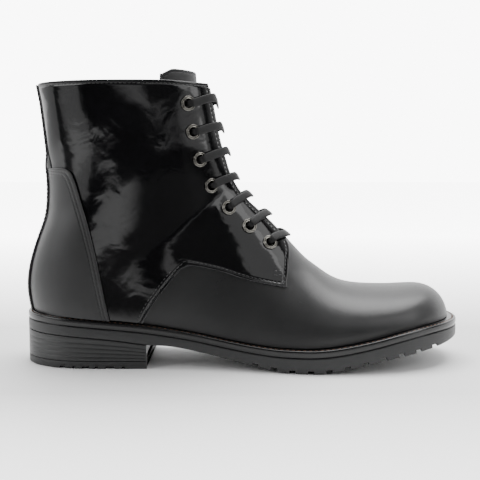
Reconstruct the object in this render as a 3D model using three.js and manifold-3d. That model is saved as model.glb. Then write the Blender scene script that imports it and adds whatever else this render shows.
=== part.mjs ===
// One right-foot lace-up ankle boot with a patent quarter, smooth vamp, stacked heel and lugged sole.
// Millimetres, +Z up, +X toe, -Y outer (lateral) side. Built in boot coordinates (heel back x=0, ground z=0), centred at the end.
import * as THREE from "three";
import { mergeVertices } from "three/addons/utils/BufferGeometryUtils.js";
import Module from "manifold-3d";

const wasm = await Module();
wasm.setup();
const { Manifold, Mesh: MMesh } = wasm;

// ---------- driving dimensions ----------
const COLLAR_Z = 192.4, COLLAR_DROP = 1.4;          // top line height and its fall toward the front
const GAP = 0.4;                                    // clearance between neighbouring layers
const QUARTER_IN = 1.95, QUARTER_OUT = 3.3;          // levels along the surface normal, 0 = lasted surface
const VAMP_IN = 0.0, VAMP_OUT = 1.4;
const QLINING_IN = 0.1, QLINING_OUT = 1.35;
const STIFF_IN = -1.8, STIFF_OUT = -0.65;            // heel stiffener and toe puff
const ILINING_IN = -3.65, ILINING_OUT = -2.5;       // vamp lining and heel grip lining
const COUNTER_IN = 4.05, COUNTER_OUT = 5.3;
const STRIP_LOW = [5.85, 6.9], STRIP_HIGH = [3.8, 4.9];
const EYELET_OUT_R = 5.0, EYELET_HOLE_R = 2.75, EYELET_BARREL_R = 3.3, PUNCH_R = 3.9;
const LACE_W = 5.6, LACE_T = 1.5, LACE_NECK_W = 3.6, LACE_NECK_T = 2.2;
const LACE_LEVEL_A = -4.0, LACE_LEVEL_B = -6.0, LACE_LEVEL_OUT = 5.2;
const END_W = 4.6, END_T = 2.5, END_LEN = 88, AGLET_LEN = 17;
const WELT_T = 5.0, WELT_MARGIN = [[-10, 9.8], [9, 9.7], [22, 8.2], [45, 7.2], [90, 6.6], [140, 6.6], [190, 7], [250, 7.2], [310, 7.6]];
const WELT_INSET = 9.0;
const LIFT_T = 5.0, HEEL_BREAST_X = 87.2;
const LUG_W = 4.0, LUG_DEPTH = 2.2, LUG_PITCH = 12.2, LUG_FIRST_X = 160, LUG_LAST_X = 290;
const PIV = [260, 205];                             // swing centre of the section planes

// side outline of the lasted body, seen from the outer side (x, z)
const FRONT = [[129, 232], [130.2, 214], [131.5, 202], [132.6, 190], [133.6, 180], [134.8, 170], [136.5, 160], [138.7, 150], [141.4, 140], [145, 130], [149.8, 120.5], [156.3, 112], [164.2, 104], [173, 95.5], [181.6, 86.5], [189, 77.5], [196, 70.2], [204, 63.9], [213.5, 57.2], [222, 53.4], [232, 51.2], [244, 50.2], [258, 49.9], [270, 50.5], [278, 50.6], [284, 49.2], [289, 46.2], [293, 41.8], [295.6, 37], [297, 32]];
const BACK = [[7, 226], [9.8, 212], [12.2, 200], [13.6, 192], [15.6, 182], [17.1, 170], [18.4, 158], [19.6, 146], [21.2, 134], [21.9, 122], [21.6, 112], [20.3, 101], [17.8, 93], [14.2, 84], [11.1, 75], [8.8, 67], [7.4, 60], [6.8, 53], [7.3, 46], [9, 38], [12.5, 30], [19, 22], [30, 17], [48, 14.5], [70, 13], [95, 8], [120, 1], [145, -6], [170, -11], [200, -13.5], [230, -10], [255, -3], [272, 4], [284, 11], [291.5, 18], [295.6, 25], [297, 32]];
const WIDE = [[69, 226], [72, 200], [75, 170], [77, 140], [76, 115], [70, 92], [62, 72], [57, 56], [63, 46], [80, 40], [105, 35], [130, 30], [160, 23.5], [190, 20.5], [220, 22.5], [250, 26], [275, 30], [297, 32]];
// greatest half width of each section plane (degrees below level, mm)
const HALF = [[-6, 38.6], [0, 38], [8, 36.6], [16, 34.6], [24, 33], [30, 31.6], [36, 31], [42, 30.8], [48, 30.6], [54, 32], [60, 35.6], [66, 40.4], [71.5, 45.2], [77, 47.6], [81, 48], [85.1, 46.7], [90, 43.4], [93.9, 38], [97.2, 30.8], [99.4, 23.5], [101, 15], [101.7, 8]];
// fullness of the section: degrees, front exponents n m, back exponents n m
const SHAPE = [[-6, 2.2, 2.1, 2.2, 2.1], [20, 2.2, 2.0, 2.3, 2.05], [32, 2.2, 1.9, 2.8, 2.1], [42, 2.1, 1.75, 4.2, 2.2], [55, 2.0, 1.7, 4.5, 2.2], [68, 2.0, 1.75, 3.6, 2.2], [85, 2.2, 1.85, 3.0, 2.1], [98, 2.5, 2.0, 2.6, 2.0], [104, 2.3, 2.0, 2.3, 2.0]];
// heights along the boot (x, z)
const FEATHER = [[-10, 35.9], [6, 35.6], [21, 35], [40, 33.7], [60, 32], [77, 30.4], [90, 28.8], [105, 26.6], [120, 24.1], [135, 21.2], [150, 18.6], [165, 16.7], [180, 15.7], [195, 15.7], [208, 16.5], [220, 18.1], [232, 20.3], [245, 22.9], [260, 26.2], [275, 28.6], [286, 29.6], [297, 30], [310, 30]];
const SOLE_BOTTOM = [[-10, 23.6], [0, 23.4], [30, 22.2], [60, 19.9], [78, 17.6], [88, 16.2], [100, 15.6], [110, 14.3], [120, 12.4], [130, 10.2], [140, 8], [150, 5.8], [160, 3.7], [170, 1.8], [180, 0.5], [190, 0], [200, 0.2], [210, 1.2], [222, 3.2], [238, 6.4], [249, 8.8], [261, 10.7], [273, 12.7], [286, 14.8], [293, 16], [301, 17.4], [310, 19]];
// panel edges in the side view (x, z)
const FACING_EDGE = [[126.1, 191.2], [127.9, 183], [129.6, 173.8], [131, 166.1], [133.2, 155.2], [134.9, 148.9], [137.3, 141], [140.3, 131.6], [144, 123.6], [149, 116], [154.6, 109.6], [161.6, 103], [168.4, 96.6], [174.5, 90.4], [179.6, 84.6], [182.4, 78.6], [182.4, 70.4], [181.9, 61.6], [181.2, 53.5]];
const QUARTER_BOTTOM = [[181.2, 53.5], [170.2, 55.6], [159.3, 58], [148.6, 61.1], [138.2, 64.6], [127.9, 67.4], [120.2, 69], [115, 69.2], [110.4, 67.1], [105.1, 61.4], [98, 52.6], [90.2, 42], [84, 30.6]];
const VAMP_REAR = [[178.6, 89.7], [176.2, 80.5], [175.6, 70], [174.6, 62.4], [168, 62.6], [159.6, 64.8], [149, 68.1], [138.6, 71.6], [128.4, 74.6], [119, 76.2], [111, 75.2], [104.6, 70], [98.4, 62], [91.4, 52.4], [83.6, 42], [77.4, 31.2]];
const COUNTER_EDGE = [[23, 134.9], [28.7, 135], [34.6, 134.7], [38.6, 132.4], [41, 127.6], [43, 121.4], [44.8, 114.7], [46.6, 108], [48.6, 100.3], [50, 93.9], [53.6, 77.3], [56.6, 59.9], [60.1, 42], [62.4, 32.4]];
const EYELETS = [[113.9, 177.4], [117, 158.7], [121.4, 140.4], [128.8, 122.8], [141, 106.6], [155.3, 93.6], [169.4, 82.2]];

// ---------- curves ----------
function spline(pts, N = 16) {
  const out = [], n = pts.length;
  const P = (i) => (i < 0 ? pts[0].map((v, c) => 2 * v - pts[1][c]) : i >= n ? pts[n - 1].map((v, c) => 2 * v - pts[n - 2][c]) : pts[i]);
  for (let i = 0; i < n - 1; i++) {
    const p = [P(i - 1), P(i), P(i + 1), P(i + 2)];
    const d = (a, b) => Math.sqrt(Math.hypot(...a.map((v, c) => v - b[c]))) || 1e-6;
    const t1 = d(p[0], p[1]), t2 = t1 + d(p[1], p[2]), t3 = t2 + d(p[2], p[3]);
    for (let k = 0; k < N; k++) {
      const t = t1 + ((t2 - t1) * k) / N;
      out.push(p[0].map((_, c) => {
        const A1 = ((t1 - t) * p[0][c] + t * p[1][c]) / t1;
        const A2 = ((t2 - t) * p[1][c] + (t - t1) * p[2][c]) / (t2 - t1);
        const A3 = ((t3 - t) * p[2][c] + (t - t2) * p[3][c]) / (t3 - t2);
        const B1 = ((t2 - t) * A1 + t * A2) / t2, B2 = ((t3 - t) * A2 + (t - t1) * A3) / (t3 - t1);
        return ((t2 - t) * B1 + (t - t1) * B2) / (t2 - t1);
      }));
    }
  }
  out.push(pts[n - 1].slice());
  return out;
}
// point at fraction f of a polyline's length
function along(poly) {
  const L = [0];
  for (let i = 1; i < poly.length; i++) L.push(L[i - 1] + Math.hypot(...poly[i].map((v, c) => v - poly[i - 1][c])));
  const total = L[L.length - 1];
  const at = (f) => {
    const d = Math.min(1, Math.max(0, f)) * total;
    let i = 1;
    while (i < L.length - 1 && L[i] < d) i++;
    const g = (d - L[i - 1]) / (L[i] - L[i - 1] || 1);
    return poly[i].map((v, c) => poly[i - 1][c] + g * (v - poly[i - 1][c]));
  };
  at.length_ = total;
  return at;
}
function pchip(T) {
  const n = T.length, h = [], d = [], m = [];
  for (let i = 0; i < n - 1; i++) { h[i] = T[i + 1][0] - T[i][0]; d[i] = (T[i + 1][1] - T[i][1]) / h[i]; }
  m[0] = d[0]; m[n - 1] = d[n - 2];
  for (let i = 1; i < n - 1; i++) m[i] = d[i - 1] * d[i] <= 0 ? 0 : (3 * (h[i - 1] + h[i])) / ((2 * h[i] + h[i - 1]) / d[i - 1] + (h[i] + 2 * h[i - 1]) / d[i]);
  return (x) => {
    if (x <= T[0][0]) return T[0][1];
    if (x >= T[n - 1][0]) return T[n - 1][1];
    let i = 0;
    while (x > T[i + 1][0]) i++;
    const t = (x - T[i][0]) / h[i], t2 = t * t, t3 = t2 * t;
    return (2 * t3 - 3 * t2 + 1) * T[i][1] + (t3 - 2 * t2 + t) * h[i] * m[i] + (-2 * t3 + 3 * t2) * T[i + 1][1] + (t3 - t2) * h[i] * m[i + 1];
  };
}
const smooth = (t) => { t = Math.min(1, Math.max(0, t)); return t * t * (3 - 2 * t); };
const featherZ = pchip(FEATHER), soleBottomZ = pchip(SOLE_BOTTOM), weltMargin = pchip(WELT_MARGIN), halfAt = pchip(HALF);
const collarZ = (x) => COLLAR_Z - COLLAR_DROP * smooth((x - 95) / 35);

// ---------- lasted surface: half width at a side-view point ----------
const DEG = Math.PI / 180;
const angle = (x, z) => { const a = Math.atan2(z - PIV[1], x - PIV[0]); return a < 0 ? a + 2 * Math.PI : a; };
const polar = (pts) => spline(pts, 24).map(([x, z]) => [angle(x, z), Math.hypot(x - PIV[0], z - PIV[1])]);
const TF = polar(FRONT), TB = polar(BACK), TW = polar(WIDE);
function look(T, a) {
  const n = T.length;
  if (a <= T[0][0]) return T[0][1];
  if (a >= T[n - 1][0]) return T[n - 1][1];
  let lo = 0, hi = n - 1;
  while (hi - lo > 1) { const m = (lo + hi) >> 1; if (T[m][0] <= a) lo = m; else hi = m; }
  return T[lo][1] + ((a - T[lo][0]) / (T[hi][0] - T[lo][0] || 1)) * (T[hi][1] - T[lo][1]);
}
function lerpT(T, a, c) {
  if (a <= T[0][0]) return T[0][c];
  for (let i = 1; i < T.length; i++) if (a <= T[i][0]) return T[i - 1][c] + (T[i][c] - T[i - 1][c]) * ((a - T[i - 1][0]) / (T[i][0] - T[i - 1][0]));
  return T[T.length - 1][c];
}
const DEG_END = (TF[TF.length - 1][0] - Math.PI) / DEG;
function halfWidth(x, z) {
  const a = angle(x, z), r = Math.hypot(x - PIV[0], z - PIV[1]), deg = (a - Math.PI) / DEG;
  if (deg >= DEG_END) return 0;
  const r1 = look(TF, a), r2 = look(TB, a), t = (r - r1) / (r2 - r1);
  if (t <= 0 || t >= 1) return 0;
  const tm = Math.min(0.92, Math.max(0.3, (look(TW, a) - r1) / (r2 - r1)));
  const last = HALF[HALF.length - 1];
  const b = deg > last[0] ? last[1] * Math.sqrt(Math.max(0, (DEG_END - deg) / (DEG_END - last[0]))) : halfAt(deg);
  if (t < tm) return b * Math.pow(1 - Math.pow((tm - t) / tm, lerpT(SHAPE, deg, 1)), 1 / lerpT(SHAPE, deg, 2));
  return b * Math.pow(Math.max(0, 1 - Math.pow((t - tm) / (1 - tm), lerpT(SHAPE, deg, 3))), 1 / lerpT(SHAPE, deg, 4));
}
// the left-right difference of the foot: toe swung inward, fuller outer joint, hollow inner waist
function warp([x, y, z]) {
  const low = 1 - smooth((z - 60) / 55);
  const k = y < 0 ? 1 + 0.05 * Math.exp(-(((x - 182) / 42) ** 2)) * low : 1 + (-0.08 * Math.exp(-(((x - 120) / 45) ** 2)) + 0.03 * Math.exp(-(((x - 228) / 35) ** 2))) * low;
  return [x, y * k + 7 * smooth((x - 150) / 150), z];
}

// ---------- closed shells from grids ----------
function grid(nu, nv, fn) {
  const G = [];
  for (let i = 0; i <= nu; i++) { const row = []; for (let j = 0; j <= nv; j++) row.push(fn(i / nu, j / nv)); G.push(row); }
  return G;
}
const sub = (a, b) => [a[0] - b[0], a[1] - b[1], a[2] - b[2]];
const cross = (a, b) => [a[1] * b[2] - a[2] * b[1], a[2] * b[0] - a[0] * b[2], a[0] * b[1] - a[1] * b[0]];
const norm = (a) => { const l = Math.hypot(...a) || 1; return [a[0] / l, a[1] / l, a[2] / l]; };
const addS = (a, b, s) => [a[0] + b[0] * s, a[1] + b[1] * s, a[2] + b[2] * s];
const mix = (a, b, t) => a.map((v, c) => v + (b[c] - v) * t);
// outward normals of the lasted surface at a surface point of the given side (-1 outer, +1 inner)
function baseNormal(x, z, side) {
  const e = 0.35, w = halfWidth(x, z);
  // gradient of F = y^2 - W^2, which stays finite on the centre line
  const q = (a, b) => { const v = halfWidth(a, b); return v * v; };
  let gx = -(q(x + e, z) - q(x - e, z)) / (2 * e), gz = -(q(x, z + e) - q(x, z - e)) / (2 * e);
  if (w < 0.4) { // one-sided toward the inside
    const cx = 0.35 * (look(TW, angle(x, z)) > Math.hypot(x - PIV[0], z - PIV[1]) ? 1 : -1);
    const a = angle(x, z), dx = Math.cos(a) * cx * 2, dz = Math.sin(a) * cx * 2;
    gx = -(q(x + dx + e, z + dz) - q(x + dx - e, z + dz)) / (2 * e); gz = -(q(x + dx, z + dz + e) - q(x + dx, z + dz - e)) / (2 * e);
  }
  return norm([gx, 2 * side * w, gz]);
}
const onBase = (x, z, side) => { const p = [x, side * halfWidth(x, z), z]; p.n = baseNormal(x, z, side); return p; };
function build(verts, tris) {
  const g = new THREE.BufferGeometry();
  g.setAttribute("position", new THREE.BufferAttribute(new Float32Array(verts.flat()), 3));
  g.setIndex(tris.flat());
  let m = mergeVertices(g, 2e-3);
  const p = m.attributes.position.array, idx = m.index.array, keep = [];
  for (let i = 0; i < idx.length; i += 3) if (idx[i] !== idx[i + 1] && idx[i + 1] !== idx[i + 2] && idx[i] !== idx[i + 2]) keep.push(idx[i], idx[i + 1], idx[i + 2]);
  m.setIndex(keep);
  let vol = 0;
  for (let i = 0; i < keep.length; i += 3) {
    const [a, b, c] = [keep[i], keep[i + 1], keep[i + 2]].map((k) => [p[3 * k], p[3 * k + 1], p[3 * k + 2]]);
    vol += (a[0] * (b[1] * c[2] - b[2] * c[1]) - a[1] * (b[0] * c[2] - b[2] * c[0]) + a[2] * (b[0] * c[1] - b[1] * c[0])) / 6;
  }
  if (vol < 0) { for (let i = 0; i < keep.length; i += 3) [keep[i + 1], keep[i + 2]] = [keep[i + 2], keep[i + 1]]; m.setIndex(keep); }
  return m;
}
// closed shell between two grids of the same size
function shell(A, B) {
  const nu = A.length - 1, nv = A[0].length - 1, verts = [], tris = [], W = nv + 1, off = (nu + 1) * W;
  for (const G of [A, B]) for (const row of G) for (const p of row) verts.push([p[0], p[1], p[2]]);
  const id = (i, j, k) => k * off + i * W + j;
  for (let i = 0; i < nu; i++) for (let j = 0; j < nv; j++) {
    tris.push([id(i, j, 0), id(i + 1, j, 0), id(i + 1, j + 1, 0)], [id(i, j, 0), id(i + 1, j + 1, 0), id(i, j + 1, 0)]);
    tris.push([id(i, j, 1), id(i + 1, j + 1, 1), id(i + 1, j, 1)], [id(i, j, 1), id(i, j + 1, 1), id(i + 1, j + 1, 1)]);
  }
  const wall = (a, b) => tris.push([id(a[0], a[1], 0), id(b[0], b[1], 0), id(b[0], b[1], 1)], [id(a[0], a[1], 0), id(b[0], b[1], 1), id(a[0], a[1], 1)]);
  for (let i = 0; i < nu; i++) { wall([i + 1, 0], [i, 0]); wall([i, nv], [i + 1, nv]); }
  for (let j = 0; j < nv; j++) { wall([0, j], [0, j + 1]); wall([nu, j + 1], [nu, j]); }
  return build(verts, tris);
}
// panel: a grid on the lasted surface given thickness from level a to level b; seam keeps it off the centre line, floor keeps it above the welt
function panel(G, a, b, opt = {}) {
  const lv = (l, i, j) => (typeof l === "function" ? l(i, j) : l);
  const make = (l) => G.map((row, i) => row.map((p, j) => {
    let q = addS(p, p.n, lv(l, i, j));
    if (opt.side) q[1] = opt.side < 0 ? Math.min(q[1], -(opt.seam || 0.3)) : Math.max(q[1], opt.seam || 0.3);
    else if (Math.abs(p[1]) < 1e-6) q[1] = 0;
    const f = featherZ(q[0]) + 0.35;
    if (q[2] < f) q[2] = f;
    return warp(q);
  }));
  return shell(make(b), make(a));
}
const toSolid = (g) => {
  const c = g.index ? g.clone() : g.clone();
  for (const k of Object.keys(c.attributes)) if (k !== "position") c.deleteAttribute(k);
  const m = mergeVertices(c, 1e-4);
  return new Manifold(new MMesh({ numProp: 3, vertProperties: new Float32Array(m.attributes.position.array), triVerts: new Uint32Array(m.index.array) }));
};
const fromSolid = (s) => {
  const m = s.getMesh(), g = new THREE.BufferGeometry();
  g.setAttribute("position", new THREE.BufferAttribute(new Float32Array(m.vertProperties), 3));
  g.setIndex(Array.from(m.triVerts));
  return g;
};

// ---------- materials ----------
const M = (color, roughness, metalness = 0) => new THREE.MeshStandardMaterial({ color, roughness, metalness });
const PATENT = () => M(0x101013, 0.12), SMOOTH = () => M(0x2c2c2f, 0.42), LINING = () => M(0x1c2233, 0.85), BOARD = () => M(0x8a6f4e, 0.9);
const RUBBER = () => M(0x2b2b2d, 0.6), WELT = () => M(0x141416, 0.3), METAL = () => M(0xb8aa8c, 0.35, 1), LACE = () => M(0x161618, 0.5), STEEL = () => M(0x9a9ea3, 0.3, 1), CORK = () => M(0x9c7347, 0.95), HEEL = () => M(0x343436, 0.55);
const group = new THREE.Group();
group.name = "lace_up_boot";
const add = (name, geometry, material) => { const m = new THREE.Mesh(geometry, material); m.name = name; group.add(m); return m; };

// ---------- upper ----------
const facingCurve = spline(FACING_EDGE), quarterBottom = spline(QUARTER_BOTTOM), vampRear = spline(VAMP_REAR), counterEdge = spline(COUNTER_EDGE);
const backLine = spline(BACK, 24), frontLine = spline(FRONT, 24);
const zCross = (poly, z) => { for (let i = 1; i < poly.length; i++) if ((poly[i - 1][1] - z) * (poly[i][1] - z) <= 0) return mix(poly[i - 1], poly[i], (z - poly[i - 1][1]) / (poly[i][1] - poly[i - 1][1] || 1)); };
const backAt = (z) => zCross(backLine, z);
const HEEL_X = zCross(backLine, 35.6)[0];
const TOE_X = 296.85, TOE_Z = featherZ(296.85);
const feather = (x) => [x, featherZ(x)];
function coons(top, bottom, left, right) { // each a function 0..1 -> [x,z]; u runs top->bottom, v left->right
  const c00 = top(0), c01 = top(1), c10 = bottom(0), c11 = bottom(1);
  return (u, v) => [0, 1].map((c) => (1 - u) * top(v)[c] + u * bottom(v)[c] + (1 - v) * left(u)[c] + v * right(u)[c] - ((1 - u) * (1 - v) * c00[c] + (1 - u) * v * c01[c] + u * (1 - v) * c10[c] + u * v * c11[c]));
}
// column positions along one row, closer where the surface bends more
function columns(C, u, side, nv, N = 160) {
  const P = Array.from({ length: N + 1 }, (_, i) => { const v = cosine(i / N), [x, z] = C(u, v); return [x, side * halfWidth(x, z), z, v]; });
  const cum = [0];
  for (let i = 1; i <= N; i++) {
    const a = P[Math.max(0, i - 3)], b = P[i], c = P[Math.min(N, i + 3)];
    const t1 = norm(sub(b, a)), t2 = norm(sub(c, b)), ds = Math.hypot(...sub(P[i], P[i - 1])), len = Math.hypot(...sub(c, a)) / 2 || 1;
    const bend = Math.min(0.08, Math.hypot(...sub(t2, t1)) / len);
    cum.push(cum[i - 1] + ds * (Math.sqrt(bend) + 0.05));
  }
  return Array.from({ length: nv + 1 }, (_, j) => {
    if (j === 0) return 0; if (j === nv) return 1;
    const d = (cum[N] * j) / nv; let i = 1; while (cum[i] < d) i++;
    const g = (d - cum[i - 1]) / (cum[i] - cum[i - 1] || 1);
    return P[i - 1][3] + g * (P[i][3] - P[i - 1][3]);
  });
}
function regionGrid(C, nu, nv, side, seamCol = true) {
  return Array.from({ length: nu + 1 }, (_, i) => {
    const u = i / nu, vs = columns(C, u, side, nv);
    return vs.map((v) => {
      let [x, z] = C(u, v);
      if (v === 1 && seamCol && z > featherZ(x) + 0.6) { x = backAt(z)[0]; const p = [x, 0, z]; p.n = baseNormal(x, z, side); return p; }
      return onBase(x, z, side);
    });
  });
}
const cosine = (v) => (1 - Math.cos(Math.PI * v)) / 2;
const sine = (v) => Math.sin((Math.PI * v) / 2);

// back edge of the quarter: down the back seam to the heel, then forward along the feather to xEnd; the corner falls on a row
function backEdge(uc, xEnd) {
  const seam = along([backAt(COLLAR_Z), ...backLine.filter(([x, z], i) => i < backLine.length / 2 && z < COLLAR_Z && z > 35.6), [HEEL_X, 35.6]]);
  return (u) => (u <= uc + 1e-9 ? seam(u / uc) : feather(HEEL_X + (xEnd - HEEL_X) * (1 - Math.cos((Math.PI / 2) * ((u - uc) / (1 - uc))))));
}

// quarter region: rows from the collar down, columns from the facing edge to the back seam
function quarterGrid(side, nu, nv, inset = 0) {
  const top = (v) => { const x = 126.1 - inset + (backAt(COLLAR_Z)[0] - 126.1 + inset) * v; return [x, collarZ(x)]; };
  const face = along(facingCurve), bot = along(quarterBottom);
  const back = backEdge(Math.round(nu * 0.66) / nu, 84);
  const C = coons(top, (v) => bot(v), (u) => face(u), (u) => back(u));
  return regionGrid(C, nu, nv, side);
}
const NQ = [21, 15];
for (const [s, side] of [["lateral", -1], ["medial", 1]]) {
  // eyelet punch holes go through the quarter and its lining
  const punches = EYELETS.map(([x, z]) => {
    const p = onBase(x, z, side), c = warp(p), o = warp(addS(p, p.n, 5)), n = norm(sub(o, c));
    const g = new THREE.CylinderGeometry(PUNCH_R, PUNCH_R, 14, 8);
    g.applyQuaternion(new THREE.Quaternion().setFromUnitVectors(new THREE.Vector3(0, 1, 0), new THREE.Vector3(...n)));
    g.translate(...c);
    return toSolid(g);
  });
  const pierce = (g) => { let q = toSolid(g); for (const h of punches) q = q.subtract(h); return fromSolid(q); };
  add(`quarter_${s}`, pierce(panel(quarterGrid(side, ...NQ), QUARTER_IN, QUARTER_OUT, { side })), PATENT());
  // quarter lining ends just behind the rear edge of the vamp
  const face = along(spline(FACING_EDGE.slice(0, -4).concat([[176, 85.8]]).map(([x, z]) => [x - 0.6, z - 0.4])));
  const low = along(spline([[175.4, 84.4], [173.2, 79.4], [172.4, 72], [169.6, 66.8], [164.6, 66.8], [158.4, 68.4], [148.6, 71.4], [138.6, 74.8], [128.4, 77.8], [119, 79.5], [109.4, 78.2], [102.2, 72], [95.8, 63.8], [88.8, 54.2], [81, 43.6], [74.4, 31.4]]));
  const back = backEdge(12 / 18, 74.4), f0 = face(0);
  const top = (v) => { const x = f0[0] + (backAt(COLLAR_Z)[0] - f0[0]) * v; return [x, collarZ(x) - 0.4]; };
  const C = coons(top, (v) => low(v), (u) => face(u), (u) => back(u));
  const G = regionGrid(C, 18, 13, side);
  add(`quarter_lining_${s}`, pierce(panel(G, QLINING_IN, QLINING_OUT, { side })), LINING());
  // heel foxing panel over the quarter
  {
    const bi = counterEdge.findIndex(([x, z]) => z < 132.4), edge = along(counterEdge.slice(bi)), topE = along([...counterEdge.slice(0, bi + 1)].reverse().concat([backAt(135)]));
    const bk = along([backAt(135), ...backLine.filter(([x, z], i) => i < backLine.length / 2 && z < 135 && z > 35.6), [HEEL_X, 35.6]]);
    const end = edge(1)[0], bottom = (v) => feather(end + (HEEL_X - end) * v);
    const K = coons((v) => topE(v), bottom, (u) => edge(u), (u) => bk(u));
    const H = regionGrid(K, 12, 8, side);
    add(`counter_panel_${s}`, panel(H, COUNTER_IN, COUNTER_OUT, { side }), SMOOTH());
  }
}
// x of the lasted surface where it is w wide at height z, near its back or its front
function xAtWidth(z, w, front) {
  let a = front ? zCross(frontLine, z)[0] : backAt(z)[0], b = front ? a - 45 : a + 30;
  if (w <= 0) return a;
  for (let i = 0; i < 40; i++) { const m = (a + b) / 2; if (halfWidth(m, z) < w) a = m; else b = m; }
  return (a + b) / 2;
}
// back strip over the seam
{
  const zs = Array.from({ length: 19 }, (_, i) => COLLAR_Z + (35.6 - COLLAR_Z) * (i / 18));
  const half = (z) => (z > 135 ? 5.4 + 1.2 * ((COLLAR_Z - z) / 57) : 6.6 + 3.4 * ((135 - z) / 100));
  const G = zs.map((z) => [-1, -0.5, 0, 0.5, 1].map((k) => { const w = Math.abs(k) * half(z); return onBase(xAtWidth(z, w, false), z, k < 0 ? -1 : 1); }));
  const lift = (z) => smooth((146 - z) / 10);
  const lv = (e) => (i) => STRIP_HIGH[e] + (STRIP_LOW[e] - STRIP_HIGH[e]) * lift(zs[i]);
  add("back_strip", panel(G, lv(0), lv(1)), SMOOTH());
}
// vamp region: rows from the rear edge to the toe tip, columns from the outer feather over the ridge to the inner feather
function vampGrid(nu, nv, u0 = 0, v0 = 0, warpU = (u) => u) {
  const rear = along([...vampRear].reverse());
  const ridge = along([[178.6, zAtFront(178.6)], ...frontLine.filter(([x, z]) => x > 178.6 && z < 95), [TOE_X, TOE_Z]]);
  const fe = along(Array.from({ length: 60 }, (_, i) => feather(77.4 + (TOE_X - 77.4) * Math.sin((Math.PI / 2) * (i / 59)))));
  const C = coons((v) => rear(v), () => [TOE_X, TOE_Z], (u) => fe(u), (u) => ridge(u));
  const cols = Array.from({ length: nu + 1 }, (_, i) => columns((u, v) => C(u, v0 + (1 - v0) * v), u0 + (1 - u0) * warpU(i / nu), -1, nv));
  return grid(nu, 2 * nv, (u, w) => {
    const uu = u0 + (1 - u0) * warpU(u), side = w < 0.5 ? -1 : 1, v = v0 + (1 - v0) * cols[Math.round(u * nu)][nv - Math.abs(Math.round(w * 2 * nv) - nv)];
    if (v > 1 - 1e-9 || uu > 1 - 1e-9) { const [x, z] = uu > 1 - 1e-9 ? [TOE_X, TOE_Z] : ridge(uu); const p = [x, 0, z]; p.n = uu > 1 - 1e-9 ? [1, 0, 0] : baseNormal(x, z, side); p.n[1] = 0; return p; }
    const [x, z] = C(uu, v);
    return onBase(x, z, side);
  });
}
function zAtFront(x) { for (let i = 1; i < frontLine.length; i++) if (frontLine[i - 1][0] <= x && frontLine[i][0] >= x) return mix(frontLine[i - 1], frontLine[i], (x - frontLine[i - 1][0]) / (frontLine[i][0] - frontLine[i - 1][0]))[1]; }
const vampSink = (i) => -0.4 * (1 - smooth(i / 3)); // the skived rear edge under the quarter
const toward = (u) => u + 0.115 * Math.sin(Math.PI * u); // rows closer together at the toe
add("vamp", panel(vampGrid(27, 10, 0, 0, toward), (i) => VAMP_IN + vampSink(i), (i) => VAMP_OUT + vampSink(i)), SMOOTH());
add("vamp_lining", panel(vampGrid(18, 6, 0.07), ILINING_IN, ILINING_OUT), LINING());
add("toe_puff", panel(vampGrid(9, 6, 0.66, 0.1), STIFF_IN, STIFF_OUT), BOARD());
// heel stiffener and heel grip lining, one piece round the back of the heel
function heelGrid(nu, nv, zTop, xTop, xLow) {
  const edge = along(spline([[xTop, zTop], [xTop + (xLow - xTop) * 0.62, zTop - (zTop - 34) * 0.5], feather(xLow)]));
  const bk = along([backAt(zTop), ...backLine.filter(([x, z], i) => i < backLine.length / 2 && z < zTop && z > 35.6), [HEEL_X, 35.6]]);
  const K = coons((v) => [xTop + (backAt(zTop)[0] - xTop) * v, zTop], (v) => feather(xLow + (HEEL_X - xLow) * v), (u) => edge(u), (u) => bk(u));
  const cols = Array.from({ length: nu + 1 }, (_, i) => columns(K, i / nu, -1, nv));
  return grid(nu, 2 * nv, (u, w) => {
    const side = w < 0.5 ? -1 : 1, v = cols[Math.round(u * nu)][nv - Math.abs(Math.round(w * 2 * nv) - nv)];
    let [x, z] = K(u, v);
    if (v > 1 - 1e-9) { if (z > featherZ(x) + 0.5) x = backAt(z)[0]; const p = [x, 0, z]; p.n = baseNormal(x, z, side); p.n[1] = 0; return p; }
    return onBase(x, z, side);
  });
}
add("heel_stiffener", panel(heelGrid(8, 6, 104, 44, 66), STIFF_IN, STIFF_OUT), BOARD());
add("heel_grip_lining", panel(heelGrid(9, 6, 112, 47, 70), ILINING_IN, ILINING_OUT), M(0x3a3530, 0.95));

// ---------- tongue ----------
const TONGUE_Z0 = 79, TONGUE_TOP = 201.4;
function tongueGrid(nu, nv, trim = 0) {
  return grid(nu, 2 * nv, (u, w) => {
    const k = 2 * w - 1, z0 = TONGUE_Z0 + trim * 0.5 + (TONGUE_TOP - trim - TONGUE_Z0 - trim * 0.5) * u;
    const half = 13 + 10.5 * smooth((z0 - 84) / 60) + 10.5 * smooth((z0 - 150) / 28) - trim; // widens to wrap the shin at the top
    const z = z0 - 4 * smooth((Math.abs(k) - 0.88) / 0.12) * smooth((u - 0.88) / 0.12); // rounded top corners
    const p = onBase(xAtWidth(z, Math.abs(k) * half, true), z, k < 0 ? -1 : 1);
    const turn = (0.65 * Math.abs(p[1])) / 12.5; // so that the deep inner layers don't cross at the narrow ridge
    if (turn < 1 && Math.abs(p.n[1]) > turn) { const f = Math.sqrt((1 - turn * turn) / (1 - p.n[1] ** 2)); p.n = [p.n[0] * f, Math.sign(p.n[1]) * turn, p.n[2] * f]; }
    if (Math.abs(k) < 1e-6) p.n[1] = 0;
    return p;
  });
}
const tongueZ = (nu, trim) => (i) => TONGUE_Z0 + trim * 0.5 + (TONGUE_TOP - trim - TONGUE_Z0 - trim * 0.5) * (i / nu);
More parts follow.
